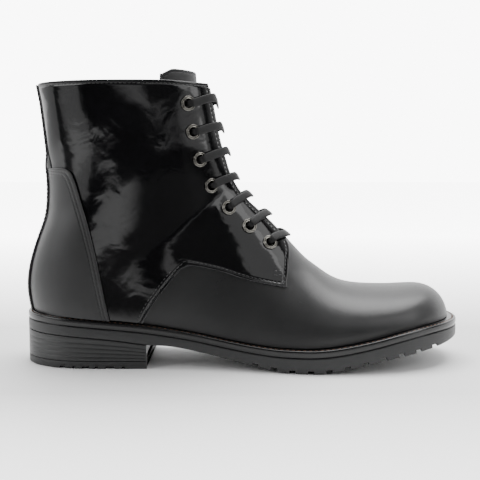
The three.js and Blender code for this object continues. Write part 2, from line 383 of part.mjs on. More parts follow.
const tongueLevel = (z) => -4.7 - 4.1 * smooth((z - 79) / 8) - 3.2 * smooth((z - 150) / 45);
{
  const zt = tongueZ(15, 0), zl = tongueZ(15, 1.2);
  add("tongue", panel(tongueGrid(15, 7), (i) => tongueLevel(zt(i)) - 1.5, (i) => tongueLevel(zt(i))), SMOOTH());
  add("tongue_lining", panel(tongueGrid(15, 4, 1.2), (i) => tongueLevel(zl(i)) - 3.1, (i) => tongueLevel(zl(i)) - 2.0), LINING());
}

// ---------- eyelets ----------
const eyeFrame = (i, side) => {
  const [x, z] = EYELETS[i], p = onBase(x, z, side), c = warp(p), n = norm(sub(warp(addS(p, p.n, 4)), c));
  const a = EYELETS[Math.max(0, i - 1)], b = EYELETS[Math.min(6, i + 1)];
  const col = norm(sub(warp(onBase(a[0], a[1], side)), warp(onBase(b[0], b[1], side)))); // up the eyelet row
  const toEdge = norm(cross(col, n).map((v) => v * -side)); // toward the facing edge
  return { c, n, col: norm(cross(n, cross(col, n))), edge: toEdge[0] > 0 ? toEdge : toEdge.map((v) => -v) };
};
for (const [s, side] of [["lateral", -1], ["medial", 1]]) for (let i = 0; i < 7; i++) {
  const { c, n } = eyeFrame(i, side);
  const prof = [[EYELET_HOLE_R, -1.9], [4.5, -1.75], [EYELET_BARREL_R, -0.8], [EYELET_BARREL_R, 3.75], [EYELET_OUT_R, 3.8], [4.4, 4.6], [EYELET_HOLE_R, 4.4], [EYELET_HOLE_R, -1.9]];
  const g = new THREE.LatheGeometry(prof.map(([r, y]) => new THREE.Vector2(r, y)), 10);
  g.applyQuaternion(new THREE.Quaternion().setFromUnitVectors(new THREE.Vector3(0, 1, 0), new THREE.Vector3(...n)));
  g.translate(...c);
  const v = toSolid(g);
  add(`eyelet_${s}_${i + 1}`, fromSolid(v), METAL());
}

// ---------- lace: outer bars over the facings, inner diagonals under them, two ends inside the shaft ----------
const LACE_EDGE = [[127.8, 181.9], [131.7, 162.9], [136, 145.8], [142.4, 127.7], [151.8, 114], [165.2, 100.4], [177.6, 86.2]]; // where each bar crosses the facing edge
const LACE_SAG = [4.2, 2.6, 1.8, 1.2, 1.4, 1.6, 2.2]; // how far the middle of each bar hangs down the row
const surf = (x, z, side, l) => { const p = onBase(x, z, side); return warp(addS(p, p.n, l)); };
const surfW = (w, z, l) => { const side = w < 0 ? -1 : 1, x = xAtWidth(z, Math.abs(w), true), p = onBase(x, z, side); if (Math.abs(w) < 0.5) p.n[1] = 0; return warp(addS(p, norm(p.n), l)); };
const holeAt = (i, side) => { const f = eyeFrame(i, side); return (l, e = 0, c = 0) => ({ p: addS(addS(addS(f.c, f.n, l), f.edge, e), f.col, c), col: f.col }); };
// one lace section: centre, width direction, width, thickness
const knots = [];
const put = (k, w = LACE_W, t = LACE_T) => knots.push({ p: k.p, col: k.col, w, t });
const NECK = [LACE_NECK_W, LACE_NECK_T];
function outward(i, side) { // from inside, up through the hole, toward the facing edge
  const h = holeAt(i, side);
  put(h(-2.2), ...NECK); put(h(1.2), ...NECK); put(h(4.2, 0.1), ...NECK); put(h(5.9, 0.5), 3.9, 2.0); put(h(6.7, 1.9), 4.6, 1.7); put(h(6.3, 4.4)); 
}
function inward(i, side) {
  const h = holeAt(i, side);
  put(h(6.3, 4.4)); put(h(6.7, 1.9), 4.6, 1.7); put(h(5.9, 0.5), 3.9, 2.0); put(h(4.2, 0.1), ...NECK); put(h(1.2), ...NECK); put(h(-2.2), ...NECK);
}
function bar(i, from) {
  outward(i, from);
  const [ex, ez] = LACE_EDGE[i], a = surf(ex + 0.5, ez, from, 5.2), b = surf(ex + 0.5, ez, -from, 5.2);
  const col = norm(mix(eyeFrame(i, from).col, eyeFrame(i, -from).col, 0.5));
  put({ p: a, col }); const m = mix(a, b, 0.5), f = norm(cross(sub(b, a), col)).map((v) => v * 1); const out = f[0] + f[2] > 0 ? f : f.map((v) => -v);
  const sag = (p, k) => addS(p, col, -k * LACE_SAG[i]);
  put({ p: sag(addS(mix(a, b, 0.25), out, 0.9), 0.75), col }); put({ p: sag(addS(m, out, 1.2), 1), col }); put({ p: sag(addS(mix(a, b, 0.75), out, 0.9), 0.75), col }); put({ p: b, col });
  inward(i, -from);
}
function diagonal(i, from, j, level) { // inside the facings, from hole i on one side to hole j on the other
  const [x1, z1] = EYELETS[i], [x2, z2] = EYELETS[j], w1 = halfWidth(x1, z1), w2 = halfWidth(x2, z2), h1 = holeAt(i, from), h2 = holeAt(j, -from);
  put(h1(-4.0, 0.7), 3.9, 2.0); put(h1(Math.min(level, -4.4) * 0.5 - 2.3, 3.2), 4.6, 1.7);
  const n = 7, at = (k) => { const f = (k + 1) / (n + 1); return surfW(from * (w1 * (1 - f) - w2 * f), z1 + (z2 - z1) * f, level); };
  for (let k = 0; k < n; k++) {
    const t = norm(sub(at(Math.min(n - 1, k + 1)), at(Math.max(0, k - 1)))), f = (k + 1) / (n + 1), w = from * (w1 * (1 - f) - w2 * f), z = z1 + (z2 - z1) * f;
    const up = norm(sub(surfW(w, z, level + 3), at(k)));
    let col = norm(cross(up, t)); if (col[2] < 0) col = col.map((v) => -v);
    put({ p: at(k), col });
  }
  put(h2(Math.min(level, -4.4) * 0.5 - 2.3, 3.2), 4.6, 1.7); put(h2(-4.0, 0.7), 3.9, 2.0);
}
// rectangular sweep with given width directions
function ribbon(K) {
  const verts = [], tris = [], n = K.length;
  const T = K.map((k, i) => norm(sub(K[Math.min(n - 1, i + 1)].p, K[Math.max(0, i - 1)].p)));
  let prev = null;
  K.forEach((k, i) => {
    let c = k.col, t = T[i];
    c = norm(addS(c, t, -(c[0] * t[0] + c[1] * t[1] + c[2] * t[2])));
    if (prev && c[0] * prev[0] + c[1] * prev[1] + c[2] * prev[2] < 0) c = c.map((v) => -v);
    prev = c;
    const u = norm(cross(t, c));
    for (const [a, b] of [[-1, -1], [1, -1], [1, 1], [-1, 1]]) verts.push(addS(addS(k.p, c, (a * k.w) / 2), u, (b * k.t) / 2));
  });
  for (let i = 0; i < n - 1; i++) for (let j = 0; j < 4; j++) {
    const a = 4 * i + j, b = 4 * i + ((j + 1) % 4);
    tris.push([a, b, b + 4], [a, b + 4, a + 4]);
  }
  tris.push([0, 2, 1], [0, 3, 2]); const e = 4 * (n - 1); tris.push([e, e + 1, e + 2], [e, e + 2, e + 3]);
  return build(verts, tris);
}
{
  // first end: outer hole 1 down to inner hole 7 by way of rows 1, 3, 5
  const tail = (i, side) => { const h = holeAt(i, side); put(h(-2.2), ...NECK); put(h(-3.6, -0.2, -0.5), ...NECK); put(h(-4.6, -0.8, -2.2), 3.8, 2.2); put(h(-5.0, -1.2, -4.5), 4.0, 2.4); };
  knots.length = 0;
  tail(0, -1); const start = [...knots].reverse(); knots.length = 0; knots.push(...start);
  bar(0, -1); diagonal(0, 1, 2, LACE_LEVEL_B);
  bar(2, -1); diagonal(2, 1, 4, LACE_LEVEL_B);
  bar(4, -1); diagonal(4, 1, 6, LACE_LEVEL_B);
  // bottom bar, then the other end back up by rows 6, 4, 2
  bar(6, -1); diagonal(6, 1, 5, LACE_LEVEL_A);
  bar(5, -1); diagonal(5, 1, 3, LACE_LEVEL_A);
  bar(3, -1); diagonal(3, 1, 1, LACE_LEVEL_A);
  bar(1, -1);
  const n0 = knots.length; tail(1, 1); knots.splice(n0, 1);
  const K = knots.filter((k, i) => i === 0 || Math.hypot(...sub(k.p, knots[i - 1].p)) > 0.35);
  add("lace", ribbon(K), LACE());
  let len = 0; for (let i = 1; i < K.length; i++) len += Math.hypot(...sub(K[i].p, K[i - 1].p));
  group.userData.laceLength = len;
}
// free ends hang down inside the shaft along the lining
function tube(pts, w, t, sides = 8) {
  const c = new THREE.CatmullRomCurve3(pts.map((p) => new THREE.Vector3(...p))), n = Math.round(c.getLength() / 6), verts = [], tris = [];
  for (let i = 0; i <= n; i++) {
    const p = c.getPointAt(i / n).toArray(), d = c.getTangentAt(i / n).toArray();
    const wd = norm(cross(d, [0, 1, 0])), td = norm(cross(d, wd));
    for (let j = 0; j < sides; j++) { const a = (2 * Math.PI * (j + 0.5)) / sides; verts.push(addS(addS(p, wd, (Math.cos(a) * w) / 2), td, (Math.sin(a) * t) / 2)); }
  }
  for (let i = 0; i < n; i++) for (let j = 0; j < sides; j++) { const a = i * sides + j, b = i * sides + ((j + 1) % sides); tris.push([a, b, b + sides], [a, b + sides, a + sides]); }
  for (let j = 1; j < sides - 1; j++) { tris.push([0, j + 1, j]); const e = n * sides; tris.push([e, e + j, e + j + 1]); }
  return build(verts, tris);
}
const ENDS = { lateral: [0, -1], medial: [1, 1] }, endInfo = {};
for (const [s, [i, side]] of Object.entries(ENDS)) {
  const h = holeAt(i, side), p0 = h(-5.1, -1.3, -5.5).p, z0 = p0[2], pts = [p0];
  const wall = (x, z) => surf(x, z, side, -5.2 - 1.6 * smooth((100 - z) / 40));
  const L = END_LEN, xs = (k) => p0[0] - 8.5 * smooth(k * 2.2);
  for (let k = 1; k <= 7; k++) pts.push(wall(xs(k / 7), z0 - (L * k) / 7));
  add(`lace_end_${s}`, tube(pts, END_W, END_T), LACE());
  const a = pts[7], b = pts[6], d = norm(sub(a, b)), a0 = addS(a, d, 0.3);
  add(`aglet_${s}`, tube([a0, addS(a0, d, AGLET_LEN / 2), addS(a0, d, AGLET_LEN)], 4.0, 3.0, 8), M(0x8f8a80, 0.3, 1));
  endInfo[s] = { start: pts[0], end: pts[7], tip: addS(a0, d, AGLET_LEN) };
}
group.userData.ends = endInfo;

// ---------- sole unit ----------
// base outline and its offsets, as half-width functions of x
const NB = 90;
const baseOutline = Array.from({ length: NB + 1 }, (_, i) => { const x = HEEL_X + (TOE_X - HEEL_X) * cosine(i / NB); return [x, i === 0 || i === NB ? 0 : halfWidth(x, featherZ(x))]; });
function outline(margin) {
  const pts = baseOutline.map((p, i) => {
    const a = i === 0 ? [baseOutline[1][0], -baseOutline[1][1]] : baseOutline[i - 1], b = i === NB ? [baseOutline[NB - 1][0], -baseOutline[NB - 1][1]] : baseOutline[i + 1];
    const t = [b[0] - a[0], b[1] - a[1]], l = Math.hypot(...t), m = margin(p[0]);
    return [p[0] + (-t[1] / l) * m, Math.max(0, p[1] + (t[0] / l) * m)];
  });
  const P = [[pts[0][0], 0], ...pts.slice(1, -1).filter(([x], i, A) => i === 0 || x > A[i - 1][0]), [pts[NB][0], 0]];
  const clean = [P[0]];
  for (const p of P.slice(1)) if (p[0] > clean[clean.length - 1][0] + 1e-6) clean.push(p);
  const f = (x) => {
    if (x <= clean[0][0] || x >= clean[clean.length - 1][0]) return 0;
    let i = 1; while (clean[i][0] < x) i++;
    const g = (x - clean[i - 1][0]) / (clean[i][0] - clean[i - 1][0]);
    return clean[i - 1][1] + g * (clean[i][1] - clean[i - 1][1]);
  };
  f.x0 = clean[0][0]; f.x1 = clean[clean.length - 1][0];
  return f;
}
// stations along x, closer together where the outline closes
function stations(x0, x1, n, closeA, closeB) {
  return Array.from({ length: n + 1 }, (_, i) => { const t = i / n; const k = closeA && closeB ? cosine(t) : closeA ? 1 - Math.cos((Math.PI / 2) * t) : closeB ? Math.sin((Math.PI / 2) * t) : t; return x0 + (x1 - x0) * k; });
}
function slab(out, top, bottom, xs, cols = 4) {
  const row = (x, zf) => Array.from({ length: cols + 1 }, (_, j) => { const y = out(x) * (-1 + (2 * j) / cols); return warp([x, y, zf(x)]); });
  return shell(xs.map((x) => row(x, top)), xs.map((x) => row(x, bottom)));
}
const sole = outline((x) => weltMargin(x));
const soleTop = (x) => featherZ(x) - WELT_T - 0.4;
// welt: a ring that the upper is stitched to
{
  const inner = outline(() => -WELT_INSET), ring = (f, n) => {
    const xs = stations(f.x0, f.x1, n, true, true), L = xs.map((x) => [x, -f(x)]), R = xs.slice(1, -1).reverse().map((x) => [x, f(x)]);
    return [...L, ...R];
  };
  const n = 30, O = ring(sole, n), I = ring(inner, n), N = O.length, verts = [], tris = [];
  const zt = (x) => featherZ(x), zb = (x) => featherZ(x) - WELT_T;
  for (const [R, z] of [[O, zt], [I, zt], [I, zb], [O, zb]]) for (const [x, y] of R) verts.push(warp([x, y, z(x)]));
  for (let k = 0; k < 4; k++) for (let i = 0; i < N; i++) { const a = k * N + i, b = k * N + ((i + 1) % N), k2 = ((k + 1) % 4) * N, c = k2 + i, d = k2 + ((i + 1) % N); tris.push([a, b, d], [a, d, c]); }
  add("welt", build(verts, tris), WELT());
}
const xsSole = stations(sole.x0, sole.x1, 34, true, true);
{
  let s = toSolid(slab(sole, soleTop, soleBottomZ, xsSole));
  for (let x = LUG_FIRST_X; x <= LUG_LAST_X; x += LUG_PITCH) {
    const slope = Math.atan2(soleBottomZ(x + 3) - soleBottomZ(x - 3), 6);
    const g = new THREE.BoxGeometry(LUG_W, 140, 2 * LUG_DEPTH); g.rotateY(-slope); g.translate(x, 0, soleBottomZ(x));
    s = s.subtract(toSolid(g));
  }
  add("outsole", fromSolid(s), RUBBER());
}
const heelOut = (x) => sole(x);
add("heel_block", slab(heelOut, (x) => soleBottomZ(x) - 0.3, () => LIFT_T + 0.3, stations(sole.x0, HEEL_BREAST_X, 12, true, false), 2), HEEL());
{
  let s = toSolid(slab(heelOut, () => LIFT_T, () => 0, stations(sole.x0, HEEL_BREAST_X, 12, true, false), 2));
  for (const [a, b] of [[27.9, 31.6], [36.8, 38.6], [43.5, 48.3], [52.4, 54.4], [59.3, 65], [70.5, 72.3]]) for (const side of [-1, 1]) {
    const g = new THREE.BoxGeometry(b - a, 30, 3.4); g.translate((a + b) / 2, side * 37, 0);
    s = s.subtract(toSolid(g));
  }
  add("heel_top_lift", fromSolid(s), RUBBER());
}
// inside the welt: cork filler with the shank let into it, then insole board and sock liner
const insoleOut = outline((x) => -5.3 - 1.8 * smooth((x - 235) / 45)), corkOut = outline(() => -WELT_INSET - 0.6);
const SHANK = [62, 158, 7.5];
{
  let s = toSolid(slab(corkOut, (x) => featherZ(x) - 0.1, (x) => featherZ(x) - WELT_T + 0.1, stations(corkOut.x0, corkOut.x1, 20, true, true), 2));
  const bar = (grow, drop) => { const xs = stations(SHANK[0] - grow, SHANK[1] + grow, 8), row = (o) => xs.map((x) => [-1, 1].map((k) => [x, k * (SHANK[2] + grow), featherZ(x) + o])); return shell(row(grow ? 2 : -0.35), row(drop)); };
  s = s.subtract(toSolid(bar(0.5, -2.2)));
  add("cork_filler", fromSolid(s), CORK());
  add("shank", bar(0, -1.75), STEEL());
}
add("insole_board", slab(insoleOut, (x) => featherZ(x) + 2.6, (x) => featherZ(x) + 0.4, stations(insoleOut.x0, insoleOut.x1, 22, true, true), 2), BOARD());
add("sock_liner", slab(outline((x) => -6.1 - 1.8 * smooth((x - 235) / 45)), (x) => featherZ(x) + 4.4, (x) => featherZ(x) + 3.0, stations(outline((x) => -6.1 - 1.8 * smooth((x - 235) / 45)).x0, outline((x) => -6.1 - 1.8 * smooth((x - 235) / 45)).x1, 22, true, true), 2), M(0x4a4038, 0.8));

// ---------- frame: bottom centre of the bounding box ----------
group.updateMatrixWorld(true);
const box = new THREE.Box3().setFromObject(group);
const shift = new THREE.Vector3(-(box.min.x + box.max.x) / 2, -(box.min.y + box.max.y) / 2, -box.min.z);
for (const m of group.children) m.geometry.translate(shift.x, shift.y, shift.z);
group.userData.shift = shift.toArray();
export default group;
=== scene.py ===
import bpy, bmesh, math
import numpy as np
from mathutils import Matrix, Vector


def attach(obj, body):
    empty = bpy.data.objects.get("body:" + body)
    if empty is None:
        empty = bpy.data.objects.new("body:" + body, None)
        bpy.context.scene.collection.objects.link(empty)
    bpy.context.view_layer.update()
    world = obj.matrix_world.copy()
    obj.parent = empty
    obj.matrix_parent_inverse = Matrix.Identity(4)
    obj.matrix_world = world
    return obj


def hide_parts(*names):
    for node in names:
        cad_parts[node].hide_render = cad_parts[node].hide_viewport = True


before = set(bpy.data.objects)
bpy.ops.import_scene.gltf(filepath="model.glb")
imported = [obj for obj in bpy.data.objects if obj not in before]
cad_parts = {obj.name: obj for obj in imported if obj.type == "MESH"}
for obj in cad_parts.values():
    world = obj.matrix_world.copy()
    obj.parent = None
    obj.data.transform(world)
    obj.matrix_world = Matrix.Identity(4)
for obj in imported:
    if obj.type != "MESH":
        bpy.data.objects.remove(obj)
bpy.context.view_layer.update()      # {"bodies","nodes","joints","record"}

# boot coordinates (heel back x=0, ground z=0, millimetres) to the row frame
SX, SY = -152.17, -3.63

# ------------------------------------------------------------------ camera
cam_data = bpy.data.cameras.new("camera")
cam_data.lens, cam_data.sensor_width = 63.93, 36
cam = bpy.data.objects.new("camera", cam_data)
cam.location = (-0.0022, -0.6036, 0.1432)
cam.rotation_euler = (math.radians(90 - 5.67), 0, 0)
bpy.context.scene.collection.objects.link(cam)
bpy.context.scene.camera = cam

# ------------------------------------------------------------------ dimensions (mm, as in the CAD)
COLLAR_Z, COLLAR_DROP = 192.4, 1.4
PIV = np.array([260.0, 205.0])
FRONT = [[129, 232], [130.2, 214], [131.5, 202], [132.6, 190], [133.6, 180], [134.8, 170], [136.5, 160], [138.7, 150], [141.4, 140], [145, 130], [149.8, 120.5], [156.3, 112], [164.2, 104], [173, 95.5], [181.6, 86.5], [189, 77.5], [196, 70.2], [204, 63.9], [213.5, 57.2], [222, 53.4], [232, 51.2], [244, 50.2], [258, 49.9], [270, 50.5], [278, 50.6], [284, 49.2], [289, 46.2], [293, 41.8], [295.6, 37], [297, 32]]
BACK = [[7, 226], [9.8, 212], [12.2, 200], [13.6, 192], [15.6, 182], [17.1, 170], [18.4, 158], [19.6, 146], [21.2, 134], [21.9, 122], [21.6, 112], [20.3, 101], [17.8, 93], [14.2, 84], [11.1, 75], [8.8, 67], [7.4, 60], [6.8, 53], [7.3, 46], [9, 38], [12.5, 30], [19, 22], [30, 17], [48, 14.5], [70, 13], [95, 8], [120, 1], [145, -6], [170, -11], [200, -13.5], [230, -10], [255, -3], [272, 4], [284, 11], [291.5, 18], [295.6, 25], [297, 32]]
WIDE = [[69, 226], [72, 200], [75, 170], [77, 140], [76, 115], [70, 92], [62, 72], [57, 56], [63, 46], [80, 40], [105, 35], [130, 30], [160, 23.5], [190, 20.5], [220, 22.5], [250, 26], [275, 30], [297, 32]]
HALF = [[-6, 38.6], [0, 38], [8, 36.6], [16, 34.6], [24, 33], [30, 31.6], [36, 31], [42, 30.8], [48, 30.6], [54, 32], [60, 35.6], [66, 40.4], [71.5, 45.2], [77, 47.6], [81, 48], [85.1, 46.7], [90, 43.4], [93.9, 38], [97.2, 30.8], [99.4, 23.5], [101, 15], [101.7, 8]]
SHAPE = [[-6, 2.2, 2.1, 2.2, 2.1], [20, 2.2, 2.0, 2.3, 2.05], [32, 2.2, 1.9, 2.8, 2.1], [42, 2.1, 1.75, 4.2, 2.2], [55, 2.0, 1.7, 4.5, 2.2], [68, 2.0, 1.75, 3.6, 2.2], [85, 2.2, 1.85, 3.0, 2.1], [98, 2.5, 2.0, 2.6, 2.0], [104, 2.3, 2.0, 2.3, 2.0]]
FEATHER = [[-10, 35.9], [6, 35.6], [21, 35], [40, 33.7], [60, 32], [77, 30.4], [90, 28.8], [105, 26.6], [120, 24.1], [135, 21.2], [150, 18.6], [165, 16.7], [180, 15.7], [195, 15.7], [208, 16.5], [220, 18.1], [232, 20.3], [245, 22.9], [260, 26.2], [275, 28.6], [286, 29.6], [297, 30], [310, 30]]
SOLE_BOTTOM = [[-10, 23.6], [0, 23.4], [30, 22.2], [60, 19.9], [78, 17.6], [88, 16.2], [100, 15.6], [110, 14.3], [120, 12.4], [130, 10.2], [140, 8], [150, 5.8], [160, 3.7], [170, 1.8], [180, 0.5], [190, 0], [200, 0.2], [210, 1.2], [222, 3.2], [238, 6.4], [249, 8.8], [261, 10.7], [273, 12.7], [286, 14.8], [293, 16], [301, 17.4], [310, 19]]
FACING_EDGE = [[126.1, 191.2], [127.9, 183], [129.6, 173.8], [131, 166.1], [133.2, 155.2], [134.9, 148.9], [137.3, 141], [140.3, 131.6], [144, 123.6], [149, 116], [154.6, 109.6], [161.6, 103], [168.4, 96.6], [174.5, 90.4], [179.6, 84.6], [182.4, 78.6], [182.4, 70.4], [181.9, 61.6], [181.2, 53.5]]
QUARTER_BOTTOM = [[181.2, 53.5], [170.2, 55.6], [159.3, 58], [148.6, 61.1], [138.2, 64.6], [127.9, 67.4], [120.2, 69], [115, 69.2], [110.4, 67.1], [105.1, 61.4], [98, 52.6], [90.2, 42], [84, 30.6]]
VAMP_REAR = [[178.6, 89.7], [176.2, 80.5], [175.6, 70], [174.6, 62.4], [168, 62.6], [159.6, 64.8], [149, 68.1], [138.6, 71.6], [128.4, 74.6], [119, 76.2], [111, 75.2], [104.6, 70], [98.4, 62], [91.4, 52.4], [83.6, 42], [77.4, 31.2]]
COUNTER_EDGE = [[23, 134.9], [28.7, 135], [34.6, 134.7], [38.6, 132.4], [41, 127.6], [43, 121.4], [44.8, 114.7], [46.6, 108], [48.6, 100.3], [50, 93.9], [53.6, 77.3], [56.6, 59.9], [60.1, 42], [62.4, 32.4]]
LINING_LOW = [[175.4, 84.4], [173.2, 79.4], [172.4, 72], [169.6, 66.8], [164.6, 66.8], [158.4, 68.4], [148.6, 71.4], [138.6, 74.8], [128.4, 77.8], [119, 79.5], [109.4, 78.2], [102.2, 72], [95.8, 63.8], [88.8, 54.2], [81, 43.6], [74.4, 31.4]]
EYELETS = [[113.9, 177.4], [117, 158.7], [121.4, 140.4], [128.8, 122.8], [141, 106.6], [155.3, 93.6], [169.4, 82.2]]
LACE_EDGE = [[127.8, 181.9], [131.7, 162.9], [136, 145.8], [142.4, 127.7], [151.8, 114], [165.2, 100.4], [177.6, 86.2]]
LACE_SAG = [4.2, 2.6, 1.8, 1.2, 1.4, 1.6, 2.2]
WELT_MARGIN = [[-10, 9.8], [9, 9.7], [22, 8.2], [45, 7.2], [90, 6.6], [140, 6.6], [190, 7], [250, 7.2], [310, 7.6]]
WELT_T, WELT_INSET, LIFT_T, HEEL_BREAST_X = 5.0, 9.0, 5.0, 87.2
LUG_W, LUG_DEPTH, LUG_PITCH, LUG_FIRST_X, LUG_LAST_X = 4.0, 2.2, 12.2, 160, 290
HEEL_NOTCHES = [[27.9, 31.6], [36.8, 38.6], [43.5, 48.3], [52.4, 54.4], [59.3, 65], [70.5, 72.3]]
TONGUE_Z0, TONGUE_TOP = 79.0, 201.4


# ------------------------------------------------------------------ curves
def spline(pts, N=16):
    pts = [np.array(p, float) for p in pts]
    n, out = len(pts), []
    P = lambda i: 2 * pts[0] - pts[1] if i < 0 else 2 * pts[n - 1] - pts[n - 2] if i >= n else pts[i]
    for i in range(n - 1):
        p = [P(i - 1), P(i), P(i + 1), P(i + 2)]
        d = lambda a, b: math.sqrt(np.linalg.norm(a - b)) or 1e-6
        t1 = d(p[0], p[1]); t2 = t1 + d(p[1], p[2]); t3 = t2 + d(p[2], p[3])
        for k in range(N):
            t = t1 + (t2 - t1) * k / N
            A1 = ((t1 - t) * p[0] + t * p[1]) / t1
            A2 = ((t2 - t) * p[1] + (t - t1) * p[2]) / (t2 - t1)
            A3 = ((t3 - t) * p[2] + (t - t2) * p[3]) / (t3 - t2)
            B1 = ((t2 - t) * A1 + t * A2) / t2
            B2 = ((t3 - t) * A2 + (t - t1) * A3) / (t3 - t1)
            out.append(((t2 - t) * B1 + (t - t1) * B2) / (t2 - t1))
    out.append(pts[-1])
    return np.array(out)


def cum(P):
    return np.concatenate([[0], np.cumsum(np.linalg.norm(np.diff(P, axis=0), axis=1))])


def along(P):
    P = np.asarray(P, float); L = cum(P)
    return lambda f: np.stack([np.interp(np.clip(f, 0, 1) * L[-1], L, P[:, c]) for c in range(P.shape[1])], -1)


def resample(P, step):
    L = cum(P); n = max(2, int(round(L[-1] / step)))
    return along(P)(np.linspace(0, 1, n + 1))


def gauss(A, sigma, closed=False):
    """gaussian smoothing of the rows of A, in samples; open ends are kept in place by odd reflection"""
    A = np.asarray(A, float); r = int(4 * sigma) + 1; flat = A.ndim == 1
    if flat: A = A[:, None]
    k = np.exp(-0.5 * (np.arange(-r, r + 1) / sigma) ** 2); k /= k.sum()
    if closed: E = np.concatenate([A[-r:], A, A[:r]])
    else:
        n = len(A); idx = np.arange(1, r + 1) % n
        E = np.concatenate([(2 * A[0] - A[np.minimum(idx, n - 1)])[::-1], A, 2 * A[-1] - A[np.maximum(n - 1 - idx, 0)]])
    out = np.stack([np.convolve(E[:, c], k, "valid") for c in range(A.shape[1])], -1)
    return out[:, 0] if flat else out


def pchip(T, lo, hi, n=3000):
    T = np.array(T, float); x, y = T[:, 0], T[:, 1]; h, d = np.diff(x), np.diff(y) / np.diff(x)
    m = np.zeros(len(x)); m[0], m[-1] = d[0], d[-1]
    for i in range(1, len(x) - 1):
        m[i] = 0 if d[i - 1] * d[i] <= 0 else 3 * (h[i - 1] + h[i]) / ((2 * h[i] + h[i - 1]) / d[i - 1] + (h[i] + 2 * h[i - 1]) / d[i])
    X = np.linspace(lo, hi, n); i = np.clip(np.searchsorted(x, X) - 1, 0, len(h) - 1); Xc = np.clip(X, x[0], x[-1])
    t = (Xc - x[i]) / h[i]
    Y = (2 * t**3 - 3 * t**2 + 1) * y[i] + (t**3 - 2 * t**2 + t) * h[i] * m[i] + (-2 * t**3 + 3 * t**2) * y[i + 1] + (t**3 - t**2) * h[i] * m[i + 1]
    return X, Y


def table(T, lo, hi, smooth_mm=2.0):
    X, Y = pchip(T, lo, hi)
    Y = gauss(Y, smooth_mm / (X[1] - X[0]))
    return lambda x: np.interp(x, X, Y)


def smooth(t):
    t = np.clip(t, 0, 1)
    return t * t * (3 - 2 * t)


feather_z, sole_bottom_z, welt_margin = table(FEATHER, -10, 310), table(SOLE_BOTTOM, -10, 310, 1.0), table(WELT_MARGIN, -10, 310)
collar_z = lambda x: COLLAR_Z - COLLAR_DROP * smooth((x - 95) / 35)

# ------------------------------------------------------------------ lasted surface
front_line, back_line, wide_line = [gauss(resample(spline(P, 24), 0.25), s / 0.25) for P, s in ((FRONT, 1.6), (BACK, 1.6), (WIDE, 3))]


def polar(P):
    a = np.degrees(np.arctan2(P[:, 1] - PIV[1], P[:, 0] - PIV[0])) % 360 - 180
    r = np.hypot(P[:, 0] - PIV[0], P[:, 1] - PIV[1]); o = np.argsort(a)
    return a[o], r[o]


(FA, FR), (BA, BR), (WA, WR) = polar(front_line), polar(back_line), polar(wide_line)
DEG_END = FA[-1]
_d = np.concatenate([np.linspace(-6, 101.7, 1600), np.linspace(101.7, DEG_END, 60)[1:]])
_X, _Y = pchip(HALF, -6, 101.7, 1600)
_b = np.concatenate([_Y, HALF[-1][1] * np.sqrt(np.clip((DEG_END - _d[1600:]) / (DEG_END - 101.7), 0, 1))])
_P = gauss(resample(np.stack([_d * 2.9, _b], -1), 0.3), 2.4 / 0.3)
HA, HB = np.maximum.accumulate(_P[:, 0] / 2.9), _P[:, 1]
_S = np.array(SHAPE); _sd = np.linspace(-12, 106, 1200)
SH = [gauss(np.interp(_sd, _S[:, 0], _S[:, c]), 2.5 / (_sd[1] - _sd[0])) for c in (1, 2, 3, 4)]


def half_width(x, z):
    x, z = np.asarray(x, float), np.asarray(z, float)
    dx, dz = x - PIV[0], z - PIV[1]
    deg = np.degrees(np.arctan2(dz, dx)) % 360 - 180
    r = np.hypot(dx, dz)
    r1, r2, rw = np.interp(deg, FA, FR), np.interp(deg, BA, BR), np.interp(deg, WA, WR)
    L = np.maximum(r2 - r1, 1e-6); t = (r - r1) / L
    tm = np.clip((rw - r1) / L, 0.3, 0.92)
    b = np.interp(deg, HA, HB, right=0)
    n1, m1, n2, m2 = [np.interp(deg, _sd, S) for S in SH]
    f = b * np.power(np.clip(1 - np.power(np.clip((tm - t) / tm, 0, 1), n1), 0, 1), 1 / m1)
    g = b * np.power(np.clip(1 - np.power(np.clip((t - tm) / (1 - tm), 0, 1), n2), 0, 1), 1 / m2)
    w = np.where(t < tm, f, g)
    return np.where((t <= 0) | (t >= 1) | (deg >= DEG_END), 0.0, w)


def base_normal(x, z, side, e=0.5):
    x, z = np.asarray(x, float), np.asarray(z, float)
    w = half_width(x, z); q = lambda a, b: half_width(a, b) ** 2
    dx, dz = x - PIV[0], z - PIV[1]; r = np.hypot(dx, dz)
    deg = np.degrees(np.arctan2(dz, dx)) % 360 - 180
    s = np.where(np.interp(deg, WA, WR) > r, 1.0, -1.0) * np.where(w < 1.2, 0.9, 0.0)
    X, Z = x + dx / r * s, z + dz / r * s
    gx, gz = -(q(X + e, Z) - q(X - e, Z)) / (2 * e), -(q(X, Z + e) - q(X, Z - e)) / (2 * e)
    n = np.stack([gx, 2 * side * w, gz], -1)
    return n / np.maximum(np.linalg.norm(n, axis=-1, keepdims=True), 1e-9)


def on_base(x, z, side):
    x, z = np.asarray(x, float), np.asarray(z, float)
    return np.stack([x, side * half_width(x, z), z], -1), base_normal(x, z, side)


def warp(p):
    p = np.array(p, float); x, y, z = p[..., 0], p[..., 1], p[..., 2]
    low = 1 - smooth((z - 60) / 55)
    k = np.where(y < 0, 1 + 0.05 * np.exp(-(((x - 182) / 42) ** 2)) * low,
                 1 + (-0.08 * np.exp(-(((x - 120) / 45) ** 2)) + 0.03 * np.exp(-(((x - 228) / 35) ** 2))) * low)
    p[..., 1] = y * k + 7 * smooth((x - 150) / 150)
    return p


